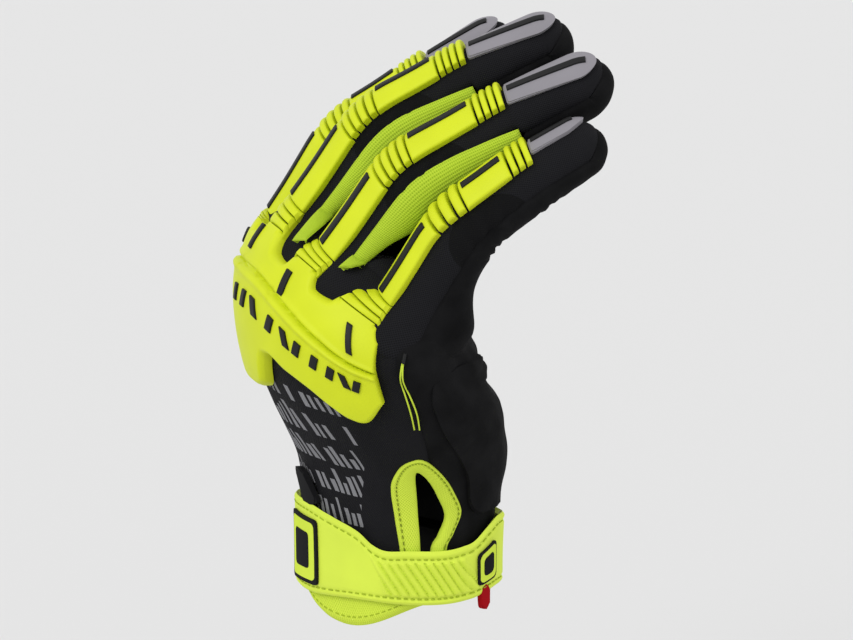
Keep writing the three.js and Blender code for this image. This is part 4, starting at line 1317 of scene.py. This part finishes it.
# Pull tabs: a short red tape hangs from the strap at the palm, and a black one stands above the
# strap at the back of the wrist. The strap and the cuff hold their ends.
red_tape = cloth("red_tape", dye(165, 8, 20), dye(120, 4, 12), 0.5, 0.5, 0.8, 0.2, mottle=0.1)
red_corners = [(-104, 0.8), (-98, 0.8), (-97, 8.5), (-104.5, 8.5)]
black_corners = [(6, 30), (22, 28), (27, 39), (17, 40)]
for name, node_name, corners, lift, made, slot in (
    ("red_hanging_tab", "red_pull_tab", red_corners, 1.2, red_tape, "red_tape"),
    ("black_wrist_tab", "wrist_pull_tab", black_corners, 0.8, patch_cloth, "black_fabric"),
):
    placed = [(x * wrist_scale, y) for x, y in corners]
    tab = cut_shape(name, rounded_outline(placed, 2.2), 1.8, 1.2, 0.5)
    lay(tab, hand_place(lift, wrist_scale))
    close_part(tab, made, [node_name])

# Side piping: two thin bright cords sewn along the seam between back and palm. They come out of
# a black rubber eyelet below the little finger and spread downwards.
def make_cord(name, path, length, radius):
    # a cord of even radius along a path that takes a share from 0 to 1, closed at both ends
    cord = cut_cloth(name, 8, length / radius, 1)

    def place(x, y, z):
        share, step = y + 0.5, 1e-3
        angle = 2 * np.pi * x[..., None]
        centre = path(share, 0 * x)
        after = np.minimum(share + step, 1)
        ahead = path(after, 0 * x) - path(after - step, 0 * x)
        out = path(share, 0 * x + 1) - centre
        ahead, out = (way / np.linalg.norm(way, axis=-1)[..., None] for way in (ahead, out))
        ring = out * np.cos(angle) + np.cross(ahead, out) * np.sin(angle)
        return centre + (radius + z[..., None]) * ring
    lay(cord, place)
    weld(cord, 1e-6, close_ends=True)
    return cord


piping_height = 0.8
piping_rise = 2.9  # up to the eyelet
piping_table = [
    dict(up=63, left=66, right=68.6), dict(up=70, left=66.8, right=69.8),
    dict(up=78, left=67.8, right=70.4), dict(up=88, left=68.6, right=70),
    dict(up=97, left=69.6, right=70),
]
for side in ("left", "right"):
    def sewn_line(share, height, side=side):
        up = between(piping_table[0]["up"], piping_table[-1]["up"], share)
        lift = height + piping_height + piping_rise * ease((up - 82) / 11)
        return hand_skin(up, along_table(piping_table, "up", side, up), lift)
    cord = make_cord(f"{side}_piping_cord", sewn_line, 33, 0.24)
    close_part(cord, cuff_knit, ["side_piping"])

eyelet_around = 69.8
eyelet = flat_part("piping_eyelet")
block(eyelet, -0.7, 0.7, 95.5, 99, 2.2, 4.4, 0.6, 0.4)
lay(eyelet, lambda x, y, z: hand_skin(y, eyelet_around + x / across_scale, z))
close_part(eyelet, black_rubber)

# Heel pad: a second layer of the leather, sewn on over the heel of the palm, where it follows the
# creases of the first.
palm_scale = 0.72  # mm for each degree around the palm
heel_corners = [(-148, 78), (-136, 96), (-106, 97), (-90, 90), (-80, 76), (-80, 62), (-90, 47), (-92, 30),
                (-150, 30)]
heel_outline = rounded_outline([(x * palm_scale, y) for x, y in heel_corners], 6)
heel_pad = cut_shape("palm_heel_leather", heel_outline, 1.3, 2, 0.5)
lay(heel_pad, lambda x, y, z: hand_skin(
    y, -x / palm_scale, 0.1 + z + palm_relief(y, -x / palm_scale)))
close_part(heel_pad, palm_leather, ["palm_heel_pad"])

# Stitches: rows of short thread stitches along the tape, the strap's hems and the cuff's tab, and
# three small tacks on the palm. One stitch is modelled and repeated along each row.
thread_height = 0.3


def stitch_row(name, length, pitch, width, place, made, share=0.6):
    row = flat_part(name)
    bpy.ops.object.mode_set(mode="EDIT")
    bpy.ops.mesh.primitive_cube_add(size=1, location=(0, share * pitch / 2, thread_height / 2),
                                    scale=(width, share * pitch, thread_height))
    bpy.ops.mesh.bevel(offset=0.1, segments=1, affect="EDGES")
    bpy.ops.object.mode_set(mode="OBJECT")
    repeat = row.modifiers.new("repeat", "ARRAY")
    repeat.count = int(length / pitch)
    repeat.use_relative_offset = False
    repeat.use_constant_offset = True
    repeat.constant_offset_displace = (0, pitch, 0)
    bpy.ops.object.modifier_apply(modifier=repeat.name)
    lay(row, place)
    close_part(row, made)


def thread(name, colour, dark):
    return cloth(name, dye(*colour), dye(*dark), 0.4, 0.4, 0.9, 0.1)


tape_thread = thread("dark_thread", (120, 132, 34), (90, 100, 24))
hem_thread = thread("pale_thread", (176, 196, 52), (150, 168, 40))
tack_thread = thread("orange_thread", (196, 70, 40), (150, 50, 30))


def on_tape(x, y, z):
    up, around = slit_path(y, tape_seam + x * 0.1)
    return hand_skin(up, around, 0.95 + z)


stitch_row("tape_stitches", 99, 1.9, 0.35, on_tape, tape_thread)
for name, low, share in (("strap_lower_stitches", 1.9, 0), ("strap_upper_stitches", -2.3, 1)):
    def on_strap(x, y, z, low=low, share=share):
        around = -60 + y / wrist_scale
        return hand_skin(strap_at(around, share) + low + x, around, strap_outside - 0.55 + z)
    stitch_row(name, 105, 2.4, 0.35, on_strap, hem_thread)


def on_cuff_tab(x, y, z):
    around = tab_place - 50 + y / wrist_scale
    return hand_skin(cuff_edge_at(around - tab_place) + 2.9 + x, around, 0.75 + z)


tack_gap = 8.5
tack_height = 52.3
first_tack = 93


def on_palm(x, y, z):
    # each tack stands beside the last, and not above it
    around = first_tack + y // tack_gap * tack_gap + x / palm_scale
    return hand_skin(tack_height + y % tack_gap, around, 0.7 + z)


stitch_row("cuff_tab_stitches", 56, 2.2, 0.35, on_cuff_tab, hem_thread)
stitch_row("palm_tacks", 3 * tack_gap, tack_gap, 0.5, on_palm, tack_thread, 0.16)
